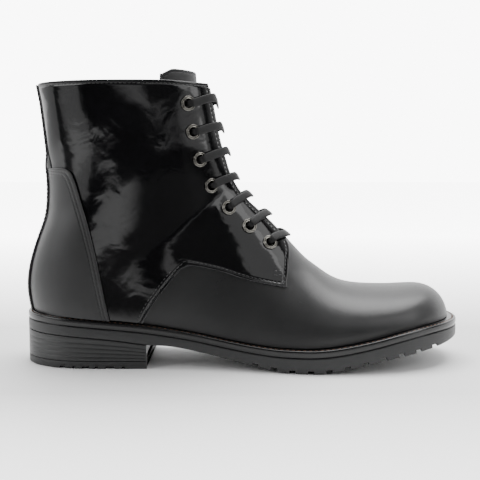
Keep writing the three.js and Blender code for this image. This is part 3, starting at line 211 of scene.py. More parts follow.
_back_upper = back_line[: len(back_line) // 2]
_back_upper = _back_upper[_back_upper[:, 1] > 30]
back_x = lambda z: np.interp(z, _back_upper[::-1, 1], _back_upper[::-1, 0])
_front_upper = front_line[front_line[:, 0] < 215]
front_x = lambda z: np.interp(z, _front_upper[::-1, 1], _front_upper[::-1, 0])
ridge_z = lambda x: np.interp(x, front_line[:, 0], front_line[:, 1])
HEEL_X, TOE_X = float(back_x(35.6)), 296.85
TOE = np.array([TOE_X, float(feather_z(TOE_X))])
feather = lambda x: np.stack([x, feather_z(x)], -1)


def x_at_width(z, w, front):
    z, w = np.broadcast_arrays(np.asarray(z, float), np.asarray(w, float))
    a = np.array(front_x(z) if front else back_x(z)); b = a - 45 if front else a + 30
    for _ in range(40):
        m = (a + b) / 2; c = half_width(m, z) < w
        a = np.where(c, m, a); b = np.where(c, b, m)
    return np.where(w <= 0, front_x(z) if front else back_x(z), (a + b) / 2)


# ------------------------------------------------------------------ panels on the surface
def coons(top, bottom, left, right):
    one = np.array(1.0); nil = np.array(0.0)
    c00, c01, c10, c11 = top(nil), top(one), bottom(nil), bottom(one)

    def C(u, v):
        u, v = np.broadcast_arrays(np.asarray(u, float), np.asarray(v, float)); U, V = u[..., None], v[..., None]
        return (1 - U) * top(v) + U * bottom(v) + (1 - V) * left(u) + V * right(u) - ((1 - U) * (1 - V) * c00 + (1 - U) * V * c01 + U * (1 - V) * c10 + U * V * c11)
    return C


RIM = [0.12, 0.3, 0.55, 1.0]


def fractions(length, step, a=True, b=True, must=()):
    """grid fractions of a line of that length: evenly spaced, with close rows at the rims"""
    n = max(4, int(round(length / step))); s = set(np.linspace(0, 1, n + 1).tolist()) | set(must)
    if a: s = {v for v in s if v == 0 or v * length > 1.5} | {r / length for r in RIM}
    if b: s = {v for v in s if v == 1 or (1 - v) * length > 1.5} | {1 - r / length for r in RIM}
    out = sorted(s); keep = [out[0]]
    for v in out[1:]:
        if v - keep[-1] > 1e-5: keep.append(v)
    return np.array(keep)


def surface_grid(C, us, side, step, a=True, b=True, to_seam=False):
    """rows us of the patch, columns evenly spaced along the real surface"""
    N = 260; v = (1 - np.cos(np.pi * np.arange(N + 1) / N)) / 2
    XZ = C(us[:, None], v[None, :]); W = half_width(XZ[..., 0], XZ[..., 1])
    P = np.stack([XZ[..., 0], W, XZ[..., 1]], -1)
    L = np.concatenate([np.zeros((len(us), 1)), np.cumsum(np.linalg.norm(np.diff(P, axis=1), axis=-1), axis=1)], 1)
    vs = fractions(float(np.mean(L[:, -1])), step, a, b)
    V = np.stack([np.interp(vs * L[i, -1], L[i], v) for i in range(len(us))])
    XZ = C(np.broadcast_to(us[:, None], V.shape), V)
    x, z = XZ[..., 0].copy(), XZ[..., 1].copy()
    if to_seam:
        m = z[:, -1] > feather_z(x[:, -1]) + 0.6
        x[:, -1] = np.where(m, back_x(z[:, -1]), x[:, -1])
    w = half_width(x, z)
    if to_seam: w[:, -1] = np.where(m, 0, w[:, -1])
    return np.stack([x, side * w, z], -1)


def grid_normals(G, side, mirror_last=False):
    """outward normals from the grid itself"""
    E = np.concatenate([G, (G * [1, -1, 1])[:, ::-1][:, 1:]], 1) if mirror_last else G
    du, dv = np.gradient(E, axis=0), np.gradient(E, axis=1)
    n = np.cross(du, dv)[:, : G.shape[1]]
    bad = np.linalg.norm(n, axis=-1) < 1e-7
    n /= np.maximum(np.linalg.norm(n, axis=-1, keepdims=True), 1e-12)
    ref = base_normal(G[..., 0], G[..., 2], side)
    n *= np.sign((n * ref).sum(-1).mean()) or 1
    n[bad] = ref[bad]
    return n


def rim_distance(G):
    """distance from the four edges of a grid, square to each edge, in mm"""
    def one(A):  # from the first row
        S = np.concatenate([np.zeros((1, A.shape[1])), np.cumsum(np.linalg.norm(np.diff(A, axis=0), axis=-1), axis=0)])
        t = np.gradient(A[0], axis=0); t /= np.maximum(np.linalg.norm(t, axis=-1, keepdims=True), 1e-9)
        k = min(3, len(A) - 1); d = A[k] - A[0]; d /= np.maximum(np.linalg.norm(d, axis=-1, keepdims=True), 1e-9)
        f = np.sqrt(np.clip(1 - (d * t).sum(-1) ** 2, 0.05, 1))
        return S * gauss(f, 1.5)[None, :]
    T = lambda A: np.swapaxes(A, 0, 1)
    return {"top": one(G), "bottom": one(G[::-1])[::-1], "left": T(one(T(G))), "right": T(one(T(G)[::-1])[::-1])}


def to_world(P):
    return (np.asarray(P) + [SX, SY, 0]) / 1000.0


MATS = {}


def make_object(name, V, F, material, body="boot", slot=None, replaces=(), angle=38, attrs=None, weld=2e-6, solid=True):
    me = bpy.data.meshes.new(name)
    me.from_pydata(to_world(V).tolist(), [], [tuple(int(i) for i in f) for f in F])
    for k, a in (attrs or {}).items():
        at = me.attributes.new(k, "FLOAT", "POINT"); at.data.foreach_set("value", np.asarray(a, np.float32).ravel())
    bm = bmesh.new(); bm.from_mesh(me)
    if weld: bmesh.ops.remove_doubles(bm, verts=bm.verts, dist=weld)
    bmesh.ops.dissolve_degenerate(bm, edges=bm.edges, dist=1e-7)
    loose = [v for v in bm.verts if not v.link_faces]
    if loose: bmesh.ops.delete(bm, geom=loose, context="VERTS")
    if solid: bmesh.ops.recalc_face_normals(bm, faces=bm.faces)
    bm.to_mesh(me); bm.free()
    me.shade_smooth(); me.set_sharp_from_angle(angle=math.radians(angle))
    o = bpy.data.objects.new(name, me)
    bpy.context.scene.collection.objects.link(o)
    me.materials.append(MATS[material])
    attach(o, body)
    if replaces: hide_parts(*replaces)
    return o


def shell_faces(nu, nv, keep):
    """faces of a closed shell between two grids: kept cells on both, walls wherever a kept cell has an edge alone"""
    W = nv + 1; off = (nu + 1) * W; F = []
    I, J = np.nonzero(keep)
    a = I * W + J; b = (I + 1) * W + J; c = (I + 1) * W + J + 1; d = I * W + J + 1
    F += np.stack([a, b, c, d], -1).tolist() + np.stack([a + off, d + off, c + off, b + off], -1).tolist()
    pad = np.zeros((nu + 2, nv + 2), bool); pad[1:-1, 1:-1] = keep
    for di, dj, p, q in ((-1, 0, (0, 0), (0, 1)), (1, 0, (1, 0), (1, 1)), (0, -1, (0, 0), (1, 0)), (0, 1, (0, 1), (1, 1))):
        m = pad[1:-1, 1:-1] & ~pad[1 + di: nu + 1 + di, 1 + dj: nv + 1 + dj]
        I, J = np.nonzero(m); s = (I + p[0]) * W + J + p[1]; t = (I + q[0]) * W + J + q[1]
        F += np.stack([s, t, t + off, s + off], -1).tolist()
    return F


def panel(name, G, N, lo, hi, material, side=None, bevel=("top", "bottom", "left", "right"), stitched=(), R=0.45, holes=None, round_lo=(), seam=0.3, **kw):
    D = rim_distance(G); nu, nv = G.shape[0] - 1, G.shape[1] - 1
    d = np.min([D[k] for k in bevel], axis=0) if bevel else np.full(G.shape[:2], 99.0)
    rim = lambda d, R: R - np.sqrt(np.clip(R * R - np.clip(R - d, 0, R) ** 2, 0, None))
    lo, hi = np.broadcast_to(lo, G.shape[:2]), np.broadcast_to(hi, G.shape[:2])
    dl = np.min([D[k] for k in round_lo], axis=0) if round_lo else None

    def lay(l):
        q = G + N * l[..., None]
        if side: q[..., 1] = np.minimum(q[..., 1], -seam) if side < 0 else np.maximum(q[..., 1], seam)
        q[..., 2] = np.maximum(q[..., 2], feather_z(q[..., 0]) + 0.35)
        return warp(q)
    OUT, IN = lay(hi - rim(d, R)), lay(lo + (rim(dl, R) if dl is not None else 0))
    keep = np.ones((nu, nv), bool)
    if holes:
        for c, n, r in holes:
            rel = OUT - c; rad = np.linalg.norm(rel - (rel @ n)[..., None] * n, axis=-1); near = np.abs(rel @ n) < 12
            ins = (rad < r) & near
            cell = ins[:-1, :-1] | ins[1:, :-1] | ins[:-1, 1:] | ins[1:, 1:]
            keep &= ~cell
            # pull the hole's border on to its circle
            touch = np.zeros((nu + 1, nv + 1), bool)
            for di in (0, 1):
                for dj in (0, 1): touch[di: nu + di, dj: nv + dj] |= cell
            ring = touch & ~ins
            for A in (OUT, IN):
                q = A[ring] - c; t = q - (q @ n)[:, None] * n; l = np.linalg.norm(t, axis=-1, keepdims=True)
                A[ring] = c + (q @ n)[:, None] * n + t / l * r
    F = shell_faces(nu, nv, keep)
    V = np.concatenate([OUT.reshape(-1, 3), IN.reshape(-1, 3)])
    e = np.min([D[k] for k in stitched], axis=0) if stitched else np.full(G.shape[:2], 50.0)
    b = np.concatenate([d.ravel(), np.zeros(d.size)])
    o = make_object(name, V, F, material, attrs={"seam": np.concatenate([e.ravel(), np.full(e.size, 50.0)]), "rim": b}, **kw)
    return o, D


def line_at(G, N, D, which, dist, level, clear=()):
    """points on the surface at one distance from an edge"""
    A, B, S = G, N, D[which]; other = [D[k] for k in clear]
    if which in ("left", "right"): A, B, S, other = np.swapaxes(A, 0, 1), np.swapaxes(B, 0, 1), S.T, [o.T for o in other]
    if which in ("bottom", "right"): A, B, S, other = A[::-1], B[::-1], S[::-1], [o[::-1] for o in other]
    P, M = [], []
    for j in range(A.shape[1]):
        f = lambda X: np.interp(dist, S[:, j], X)
        if any(f(o[:, j]) < dist - 0.15 for o in other): continue
        n = np.array([f(B[:, j, c]) for c in range(3)]); n /= np.linalg.norm(n)
        P.append(np.array([f(A[:, j, c]) for c in range(3)]) + n * level); M.append(n)
    return np.array(P), np.array(M)


THREADS = {}


def stitches(P, M, group, pitch=2.9, length=2.15, r=0.31, sink=0.1, warped=True):
    """sewn thread along a line of points with normals"""
    if len(P) < 3: return
    P, M = gauss(P, 1.2), gauss(M, 1.2)
    if warped:
        Q = warp(P + M); P = warp(P); M = Q - P
    L = cum(P); n = max(1, int(L[-1] // pitch)); s = (np.arange(n) + 0.5) * L[-1] / n
    at = lambda A, t: np.stack([np.interp(t, L, A[:, c]) for c in range(3)], -1)
    C = at(P, s); T = at(P, s + 0.5) - at(P, s - 0.5); U = at(M, s)
    T /= np.linalg.norm(T, axis=1, keepdims=True); U -= (U * T).sum(1, keepdims=True) * T; U /= np.linalg.norm(U, axis=1, keepdims=True)
    B = np.cross(T, U)
    add_capsules(C - U * sink, T, B, U, length, r, group)


def add_capsules(C, T, B, U, length, r, group):
    rings = [(-0.5, 0.0), (-0.46, 0.55), (-0.36, 0.9), (-0.15, 1.0), (0.15, 1.0), (0.36, 0.9), (0.46, 0.55), (0.5, 0.0)]
    K = 8; V, F, base = [], [], 0
    ph = 2 * np.pi * np.arange(K) / K
    tv = []
    for t, k in rings:
        # the ends dip into the leather
        for p in (ph if k else [0.0]): tv.append((t * length, r * k * math.cos(p), r * k * math.sin(p) - (0.55 * r if abs(t) > 0.4 else 0)))
    tv = np.array(tv); idx = []
    starts = [0, 1, 1 + K, 1 + 2 * K, 1 + 3 * K, 1 + 4 * K, 1 + 5 * K, 1 + 6 * K]
    for j in range(K): idx.append((0, 1 + j, 1 + (j + 1) % K))
    for a in range(1, 6):
        for j in range(K): idx.append((starts[a] + j, starts[a + 1] + j, starts[a + 1] + (j + 1) % K, starts[a] + (j + 1) % K))
    for j in range(K): idx.append((starts[7], starts[6] + (j + 1) % K, starts[6] + j))
    V, F = THREADS.setdefault(group, ([], []))
    for c, t, b, u in zip(C, T, B, U):
        base = len(V)
        V.extend((c + tv[:, :1] * t + tv[:, 1:2] * b + tv[:, 2:3] * u).tolist())
        F.extend([tuple(base + i for i in f) for f in idx])


# ------------------------------------------------------------------ materials
def new_material(name):
    m = bpy.data.materials.new(name); m.use_nodes = True; MATS[name] = m
    nt = m.node_tree; b = next(n for n in nt.nodes if n.type == "BSDF_PRINCIPLED")
    co = nt.nodes.new("ShaderNodeTexCoord")
    return m, nt, b, co.outputs["Object"]


def N_(nt, kind, inputs=None, **props):
    n = nt.nodes.new(kind)
    for k, v in props.items(): setattr(n, k, v)
    for k, v in (inputs or {}).items():
        s = n.inputs[k]
        if isinstance(v, bpy.types.NodeSocket): nt.links.new(v, s)
        else: s.default_value = v
    return n


def noise(nt, co, scale, detail=3, rough=0.55, distortion=0.0):
    return N_(nt, "ShaderNodeTexNoise", {"Vector": co, "Scale": scale, "Detail": detail, "Roughness": rough, "Distortion": distortion}).outputs["Fac"]


def voronoi(nt, co, scale, feature="F1", out="Distance", random=1.0):
    return N_(nt, "ShaderNodeTexVoronoi", {"Vector": co, "Scale": scale, "Randomness": random}, feature=feature).outputs[out]


def math_(nt, op, a, b=None, c=None):
    n = nt.nodes.new("ShaderNodeMath"); n.operation = op
    for i, v in enumerate((a, b, c)):
        if v is None: continue
        if isinstance(v, bpy.types.NodeSocket): nt.links.new(v, n.inputs[i])
        else: n.inputs[i].default_value = v
    return n.outputs[0]


def ramp(nt, fac, a, b, lo, hi):
    """map fac from lo..hi to a..b"""
    return N_(nt, "ShaderNodeMapRange", {"Value": fac, "From Min": lo, "From Max": hi, "To Min": a, "To Max": b}).outputs["Result"]


def colour(nt, fac, stops):
    r = nt.nodes.new("ShaderNodeValToRGB"); nt.links.new(fac, r.inputs["Fac"])
    e = r.color_ramp.elements
    while len(e) < len(stops): e.new(0.5)
    for el, (p, c) in zip(e, stops): el.position = p; el.color = (*c, 1)
    return r.outputs["Color"]


def mixc(nt, fac, a, b):
    n = nt.nodes.new("ShaderNodeMix"); n.data_type = "RGBA"
    for k, v in ((0, fac), (6, a), (7, b)):
        if isinstance(v, bpy.types.NodeSocket): nt.links.new(v, n.inputs[k])
        else: n.inputs[k].default_value = v if k == 0 else (*v, 1)
    return n.outputs[2]


def attr(nt, name):
    return N_(nt, "ShaderNodeAttribute", attribute_name=name).outputs["Fac"]


def bump(nt, height, distance, strength=1.0, normal=None):
    i = {"Height": height, "Distance": distance, "Strength": strength}
    if normal is not None: i["Normal"] = normal
    return N_(nt, "ShaderNodeBump", i).outputs["Normal"]


def dip(nt, x, at, width):
    """1 at x = at, falling to 0 either side"""
    d = math_(nt, "DIVIDE", math_(nt, "SUBTRACT", x, at), width)
    return math_(nt, "POWER", 2.718, math_(nt, "MULTIPLY", math_(nt, "MULTIPLY", d, d), -1.0))


def seams(nt, rows=(2.3,)):
    """the pulled-down trough along each row of stitches"""
    s = attr(nt, "seam"); h = None
    for r in rows:
        g = math_(nt, "MULTIPLY", dip(nt, s, r, 0.55), -1.0)
        h = g if h is None else math_(nt, "ADD", h, g)
    return h


def leather(name, base, light, rough, pore_scale, pore_depth, wave=0.0, rows=(2.3,), edge=None, sheen=0.0, ripple=0.0):
    m, nt, b, co = new_material(name)
    big = noise(nt, co, 22, 2, 0.5); fine = noise(nt, co, pore_scale * 0.45, 4, 0.6)
    col = colour(nt, big, [(0.3, base), (0.7, light)])
    pores = voronoi(nt, co, pore_scale, "DISTANCE_TO_EDGE")
    p = ramp(nt, pores, 0.0, 1.0, 0.0, 0.14)
    col = mixc(nt, ramp(nt, p, 0.25, 0.0, 0.0, 1.0), col, tuple(c * 0.55 for c in base))
    rim = attr(nt, "rim")
    # the lighter colour within half a millimetre of a cut edge is partly the edge's own lighter raw tone and partly a
    # painted highlight along the edge
    if edge: col = mixc(nt, ramp(nt, rim, 0.85, 0.0, 0.1, 0.5), col, edge)
    nt.links.new(col, b.inputs["Base Color"])
    nt.links.new(ramp(nt, math_(nt, "ADD", math_(nt, "MULTIPLY", big, 0.7), math_(nt, "MULTIPLY", fine, 0.3)), rough * 0.86, rough * 1.16, 0.3, 0.7), b.inputs["Roughness"])
    nrm = bump(nt, math_(nt, "ADD", p, math_(nt, "MULTIPLY", fine, 0.8)), pore_depth)
    if wave: nrm = bump(nt, noise(nt, co, 55, 2, 0.45, 0.6), wave, 1.0, nrm)
    if ripple: nrm = bump(nt, noise(nt, co, 240, 2, 0.5), ripple, 1.0, nrm)
    if rows: nrm = bump(nt, seams(nt, rows), 0.00035, 0.9, nrm)
    nt.links.new(nrm, b.inputs["Normal"])
    b.inputs["Sheen Weight"].default_value = sheen
    return m, nt, b


# the edge colours below are a lighter cut-edge tone that also paints the highlight along each panel edge
leather("patent_leather", (0.0032, 0.0032, 0.0036), (0.0045, 0.0045, 0.005), 0.055, 1900, 0.0000015, wave=0.00028, ripple=0.000022, edge=(0.05, 0.05, 0.052))
MATS["patent_leather"].node_tree.nodes["Principled BSDF"].inputs["IOR"].default_value = 1.5
leather("smooth_leather", (0.013, 0.013, 0.0135), (0.018, 0.018, 0.0185), 0.36, 1500, 0.000022, wave=0.00016, rows=(2.1, 4.2), edge=(0.035, 0.035, 0.036))
leather("vamp_leather", (0.013, 0.013, 0.0135), (0.0175, 0.0175, 0.018), 0.31, 1500, 0.00002, wave=0.00013, rows=None, edge=None)
leather("tongue_leather", (0.02, 0.02, 0.021), (0.028, 0.028, 0.029), 0.42, 1300, 0.00004, wave=0.0002, rows=(2.0,), edge=(0.06, 0.06, 0.062))
leather("sock_leather", (0.05, 0.042, 0.035), (0.075, 0.062, 0.05), 0.6, 1200, 0.00003, rows=None)


def woven(name, dark, light, scale, depth, rough):
    m, nt, b, co = new_material(name)
    sep = N_(nt, "ShaderNodeSeparateXYZ", {"Vector": co}); x, y, z = sep.outputs
    d1 = math_(nt, "SINE", math_(nt, "MULTIPLY", math_(nt, "ADD", math_(nt, "ADD", x, y), z), scale))
    d2 = math_(nt, "SINE", math_(nt, "MULTIPLY", math_(nt, "SUBTRACT", math_(nt, "ADD", x, y), z), scale))
    h = math_(nt, "MULTIPLY", d1, d2); n = noise(nt, co, 900, 3, 0.6)
    f = ramp(nt, math_(nt, "ADD", h, n), 0.0, 1.0, -0.5, 1.5)
    nt.links.new(colour(nt, f, [(0.2, dark), (0.85, light)]), b.inputs["Base Color"])
    nt.links.new(ramp(nt, n, rough - 0.06, rough + 0.06, 0.3, 0.7), b.inputs["Roughness"])
    nt.links.new(bump(nt, f, depth), b.inputs["Normal"])
    b.inputs["Sheen Weight"].default_value = 0.25
    return m


woven("lining_leather", (0.006, 0.008, 0.014), (0.02, 0.027, 0.045), 5200, 0.00012, 0.86)
woven("grip_suede", (0.03, 0.026, 0.022), (0.06, 0.052, 0.045), 8000, 0.00008, 0.92)


def plain(name, base, light, rough, scale, depth, metallic=0.0, lines=None, detail=4, spec=None):
    m, nt, b, co = new_material(name)
    n = noise(nt, co, scale, detail, 0.6); big = noise(nt, co, 35, 2, 0.5); f = math_(nt, "ADD", math_(nt, "MULTIPLY", n, 0.5), math_(nt, "MULTIPLY", big, 0.5))
    col = colour(nt, f, [(0.35, base), (0.65, light)]); h = n
    if lines:  # fine layers, level with the ground
        pitch, depth_c, amount = lines
        z = N_(nt, "ShaderNodeSeparateXYZ", {"Vector": co}).outputs[2]
        wob = math_(nt, "ADD", z, math_(nt, "MULTIPLY", noise(nt, co, 25, 1), 0.0006))
        s = math_(nt, "SINE", math_(nt, "MULTIPLY", wob, 2 * math.pi / pitch))
        s2 = N_(nt, "ShaderNodeTexNoise", {"Scale": 1.0, "Detail": 3, "Vector": N_(nt, "ShaderNodeVectorMath", {0: co, 1: (8.0, 8.0, 900.0)}, operation="MULTIPLY").outputs[0]}).outputs["Fac"]
        t = math_(nt, "ADD", math_(nt, "MULTIPLY", s, 0.35), s2)
        col = mixc(nt, ramp(nt, t, amount, 0.0, 0.25, 0.75), col, tuple(c * depth_c for c in base))
        h = math_(nt, "ADD", math_(nt, "MULTIPLY", n, 0.35), t)
    nt.links.new(col, b.inputs["Base Color"])
    nt.links.new(ramp(nt, f, rough * 0.85, rough * 1.15, 0.35, 0.65), b.inputs["Roughness"])
    nt.links.new(bump(nt, h, depth), b.inputs["Normal"])
    b.inputs["Metallic"].default_value = metallic
    return m, nt, b


plain("welt_leather", (0.0035, 0.0035, 0.0036), (0.005, 0.005, 0.0051), 0.2, 900, 0.000008)
plain("sole_rubber", (0.014, 0.0143, 0.0147), (0.019, 0.0194, 0.0198), 0.46, 1400, 0.00002, lines=(0.0016, 0.8, 0.25))
plain("heel_stack", (0.018, 0.0184, 0.0188), (0.023, 0.0234, 0.0238), 0.42, 1200, 0.000018, lines=(0.0027, 0.75, 0.3))
plain("lift_rubber", (0.017, 0.017, 0.0175), (0.023, 0.023, 0.0235), 0.55, 1500, 0.00003, lines=(0.0016, 0.8, 0.25))
plain("eyelet_metal", (0.15, 0.145, 0.132), (0.3, 0.29, 0.265), 0.22, 500, 0.000006, metallic=1.0)
plain("aglet_metal", (0.25, 0.24, 0.23), (0.4, 0.39, 0.37), 0.3, 900, 0.00001, metallic=1.0)
plain("spring_steel", (0.3, 0.31, 0.32), (0.42, 0.43, 0.44), 0.35, 900, 0.00001, metallic=1.0)
plain("thread_black", (0.012, 0.012, 0.0125), (0.035, 0.035, 0.036), 0.4, 4000, 0.00003)
plain("thread_brown", (0.1, 0.038, 0.016), (0.2, 0.08, 0.035), 0.55, 4000, 0.00004)
plain("cork", (0.2, 0.11, 0.05), (0.42, 0.26, 0.13), 0.9, 420, 0.0002)
plain("fibre_board", (0.24, 0.17, 0.1), (0.33, 0.24, 0.15), 0.9, 1600, 0.00006)


def lace_material():
    m, nt, b, co = new_material("waxed_lace")
    s, c = attr(nt, "along"), attr(nt, "across")
    v = math_(nt, "ABSOLUTE", c)
    ph = math_(nt, "ADD", math_(nt, "MULTIPLY", s, 2 * math.pi / 1.25), math_(nt, "MULTIPLY", v, 5.5))
    w = math_(nt, "SINE", ph); rows = math_(nt, "COSINE", math_(nt, "MULTIPLY", c, 21.0))
    h = math_(nt, "ADD", math_(nt, "MULTIPLY", w, 0.6), math_(nt, "MULTIPLY", rows, 0.4)); n = noise(nt, co, 1800, 3, 0.6)
    f = ramp(nt, math_(nt, "ADD", h, n), 0.0, 1.0, -0.8, 1.6)
    nt.links.new(colour(nt, f, [(0.1, (0.0035, 0.0035, 0.0037)), (0.9, (0.01, 0.01, 0.0105))]), b.inputs["Base Color"])
    nt.links.new(ramp(nt, n, 0.42, 0.56, 0.3, 0.7), b.inputs["Roughness"])
    nt.links.new(bump(nt, f, 0.00009), b.inputs["Normal"])
    b.inputs["Specular IOR Level"].default_value = 0.24


lace_material()

# ------------------------------------------------------------------ eyelet frames and the lace route
norm = lambda a: np.asarray(a, float) / max(np.linalg.norm(a), 1e-12)


def base_pt(x, z, side):
    p, n = on_base(np.array(float(x)), np.array(float(z)), side)
    return p, n


def eye_frame(i, side):
    x, z = EYELETS[i]; p, n = base_pt(x, z, side); c = warp(p); nn = norm(warp(p + 4 * n) - c)
    a, b = EYELETS[max(0, i - 1)], EYELETS[min(6, i + 1)]
    col = norm(warp(base_pt(*a, side)[0]) - warp(base_pt(*b, side)[0]))
    edge = norm(np.cross(col, nn) * -side)
    return c, nn, norm(np.cross(nn, np.cross(col, nn))), edge if edge[0] > 0 else -edge


FRAMES = {(i, s): eye_frame(i, s) for i in range(7) for s in (-1, 1)}
LW, LT, NECK = 5.6, 1.5, (3.6, 2.2)
knots = []


def put(p, col, w=LW, t=LT): knots.append((np.array(p, float), np.array(col, float), w, t))


def hole_at(i, side):
    c, n, col, edge = FRAMES[(i, side)]
    return lambda l, e=0.0, k=0.0: (c + n * l + edge * e + col * k, col)


def surf(x, z, side, l):
    p, n = base_pt(x, z, side); return warp(p + n * l)


def surf_w(w, z, l):
    side = -1 if w < 0 else 1; x = float(x_at_width(z, abs(w), True)); p, n = base_pt(x, z, side)
    if abs(w) < 0.5: n = norm([n[0], 0, n[2]])
    return warp(p + n * l)


def outward(i, side):
    h = hole_at(i, side)
    put(*h(-2.2), *NECK); put(*h(1.2), *NECK); put(*h(4.2, 0.1), *NECK); put(*h(5.9, 0.5), 3.9, 2.0); put(*h(6.7, 1.9), 4.6, 1.7); put(*h(6.3, 4.4))


def inward(i, side):
    h = hole_at(i, side)
    put(*h(6.3, 4.4)); put(*h(6.7, 1.9), 4.6, 1.7); put(*h(5.9, 0.5), 3.9, 2.0); put(*h(4.2, 0.1), *NECK); put(*h(1.2), *NECK); put(*h(-2.2), *NECK)


def bar(i, side):
    outward(i, side)
    ex, ez = LACE_EDGE[i]; a, b = surf(ex + 0.5, ez, side, 5.2), surf(ex + 0.5, ez, -side, 5.2)
    col = norm(FRAMES[(i, side)][2] + FRAMES[(i, -side)][2]); f = norm(np.cross(b - a, col)); out = f if f[0] + f[2] > 0 else -f
    s = LACE_SAG[i] * col
    put(a, col); put(a + (b - a) * 0.25 + out * 0.9 - s * 0.75, col); put((a + b) / 2 + out * 1.2 - s, col); put(a + (b - a) * 0.75 + out * 0.9 - s * 0.75, col); put(b, col)
    inward(i, -side)


def diagonal(i, side, j, level):
    (x1, z1), (x2, z2) = EYELETS[i], EYELETS[j]; w1, w2 = float(half_width(x1, z1)), float(half_width(x2, z2)); h1, h2 = hole_at(i, side), hole_at(j, -side)
    put(*h1(-4.0, 0.7), 3.9, 2.0); put(*h1(min(level, -4.4) * 0.5 - 2.3, 3.2), 4.6, 1.7)
    n = 7; pts = []
    for k in range(n):
        f = (k + 1) / (n + 1); w = side * (w1 * (1 - f) - w2 * f); z = z1 + (z2 - z1) * f; pts.append((w, z, surf_w(w, z, level)))
    for k in range(n):
        t = norm(pts[min(n - 1, k + 1)][2] - pts[max(0, k - 1)][2]); w, z, p = pts[k]
        col = norm(np.cross(norm(surf_w(w, z, level + 3) - p), t)); put(p, col if col[2] >= 0 else -col)
    put(*h2(min(level, -4.4) * 0.5 - 2.3, 3.2), 4.6, 1.7); put(*h2(-4.0, 0.7), 3.9, 2.0)


def tail(i, side):
    h = hole_at(i, side)
    return [(*h(-2.2), *NECK), (*h(-3.6, -0.2, -0.5), *NECK), (*h(-4.6, -0.8, -2.2), 3.8, 2.2), (*h(-5.0, -1.2, -4.5), 4.0, 2.4)]


for k in reversed(tail(0, -1)): put(*k)
A, B = -4.0, -6.0
bar(0, -1); diagonal(0, 1, 2, B); bar(2, -1); diagonal(2, 1, 4, B); bar(4, -1); diagonal(4, 1, 6, B)
bar(6, -1); diagonal(6, 1, 5, A); bar(5, -1); diagonal(5, 1, 3, A); bar(3, -1); diagonal(3, 1, 1, A); bar(1, -1)
for k in tail(1, 1)[1:]: put(*k)
KN = [k for i, k in enumerate(knots) if i == 0 or np.linalg.norm(k[0] - knots[i - 1][0]) > 0.35]


def sweep(name, C, COL, W, T, material, sides=16, expo=3.2, **kw):
    """a band of rounded section along C, width along COL"""
    C = np.asarray(C); n = len(C); t = np.gradient(C, axis=0); t /= np.linalg.norm(t, axis=1, keepdims=True)
    col = COL - (COL * t).sum(1, keepdims=True) * t; col /= np.linalg.norm(col, axis=1, keepdims=True)
    for i in range(1, n):
        if col[i] @ col[i - 1] < 0: col[i] = -col[i]
    u = np.cross(t, col); a = 2 * np.pi * (np.arange(sides) + 0.5) / sides; ca, sa = np.cos(a), np.sin(a)
    ex, ey = np.sign(ca) * np.abs(ca) ** (2 / expo), np.sign(sa) * np.abs(sa) ** (2 / expo)
    V = C[:, None] + col[:, None] * (ex[None, :, None] * np.asarray(W)[:, None, None] / 2) + u[:, None] * (ey[None, :, None] * np.asarray(T)[:, None, None] / 2)
    F = []
    i, j = np.meshgrid(np.arange(n - 1), np.arange(sides), indexing="ij"); a_ = (i * sides + j).ravel(); b_ = (i * sides + (j + 1) % sides).ravel()
    F = np.stack([a_, b_, b_ + sides, a_ + sides], -1).tolist()
    base = n * sides; V = np.concatenate([V.reshape(-1, 3), C[:1], C[-1:]])
    F += [(base, (k + 1) % sides, k) for k in range(sides)] + [(base + 1, (n - 1) * sides + k, (n - 1) * sides + (k + 1) % sides) for k in range(sides)]
    L = cum(C); al = np.concatenate([np.repeat(L, sides), [0, L[-1]]]); ac = np.concatenate([np.tile(ex, n), [0, 0]])
    return make_object(name, V, F, material, attrs={"along": al, "across": ac}, weld=0, angle=60, **kw)


def dense(K, per=5):
    P = np.array([k[0] for k in K]); X = np.array([np.concatenate([k[0], k[1], [k[2], k[3]]]) for k in K])
    out, n = [], len(K)
    for i in range(n - 1):
        p0, p1, p2, p3 = P[max(0, i - 1)], P[i], P[i + 1], P[min(n - 1, i + 2)]
        if i == 0: p0 = 2 * p1 - p2
        if i == n - 2: p3 = 2 * p2 - p1
        d = lambda a, b: max(math.sqrt(np.linalg.norm(a - b)), 1e-3); t1 = d(p0, p1); t2 = t1 + d(p1, p2); t3 = t2 + d(p2, p3)
        for k in range(per):
            f = k / per; t = t1 + (t2 - t1) * f
            A1 = ((t1 - t) * p0 + t * p1) / t1; A2 = ((t2 - t) * p1 + (t - t1) * p2) / (t2 - t1); A3 = ((t3 - t) * p2 + (t - t2) * p3) / (t3 - t2)
            B1 = ((t2 - t) * A1 + t * A2) / t2; B2 = ((t3 - t) * A2 + (t - t1) * A3) / (t3 - t1)
            q = ((t2 - t) * B1 + (t - t1) * B2) / (t2 - t1); g = smooth(f); x = X[i] * (1 - g) + X[i + 1] * g
            out.append(np.concatenate([q, x[3:]]))
    out.append(X[-1]); return np.array(out)


D_ = dense(KN)
sweep("lace_band", D_[:, :3], D_[:, 3:6], D_[:, 6], D_[:, 7], "waxed_lace", slot="waxed_lace", replaces=["lace"])

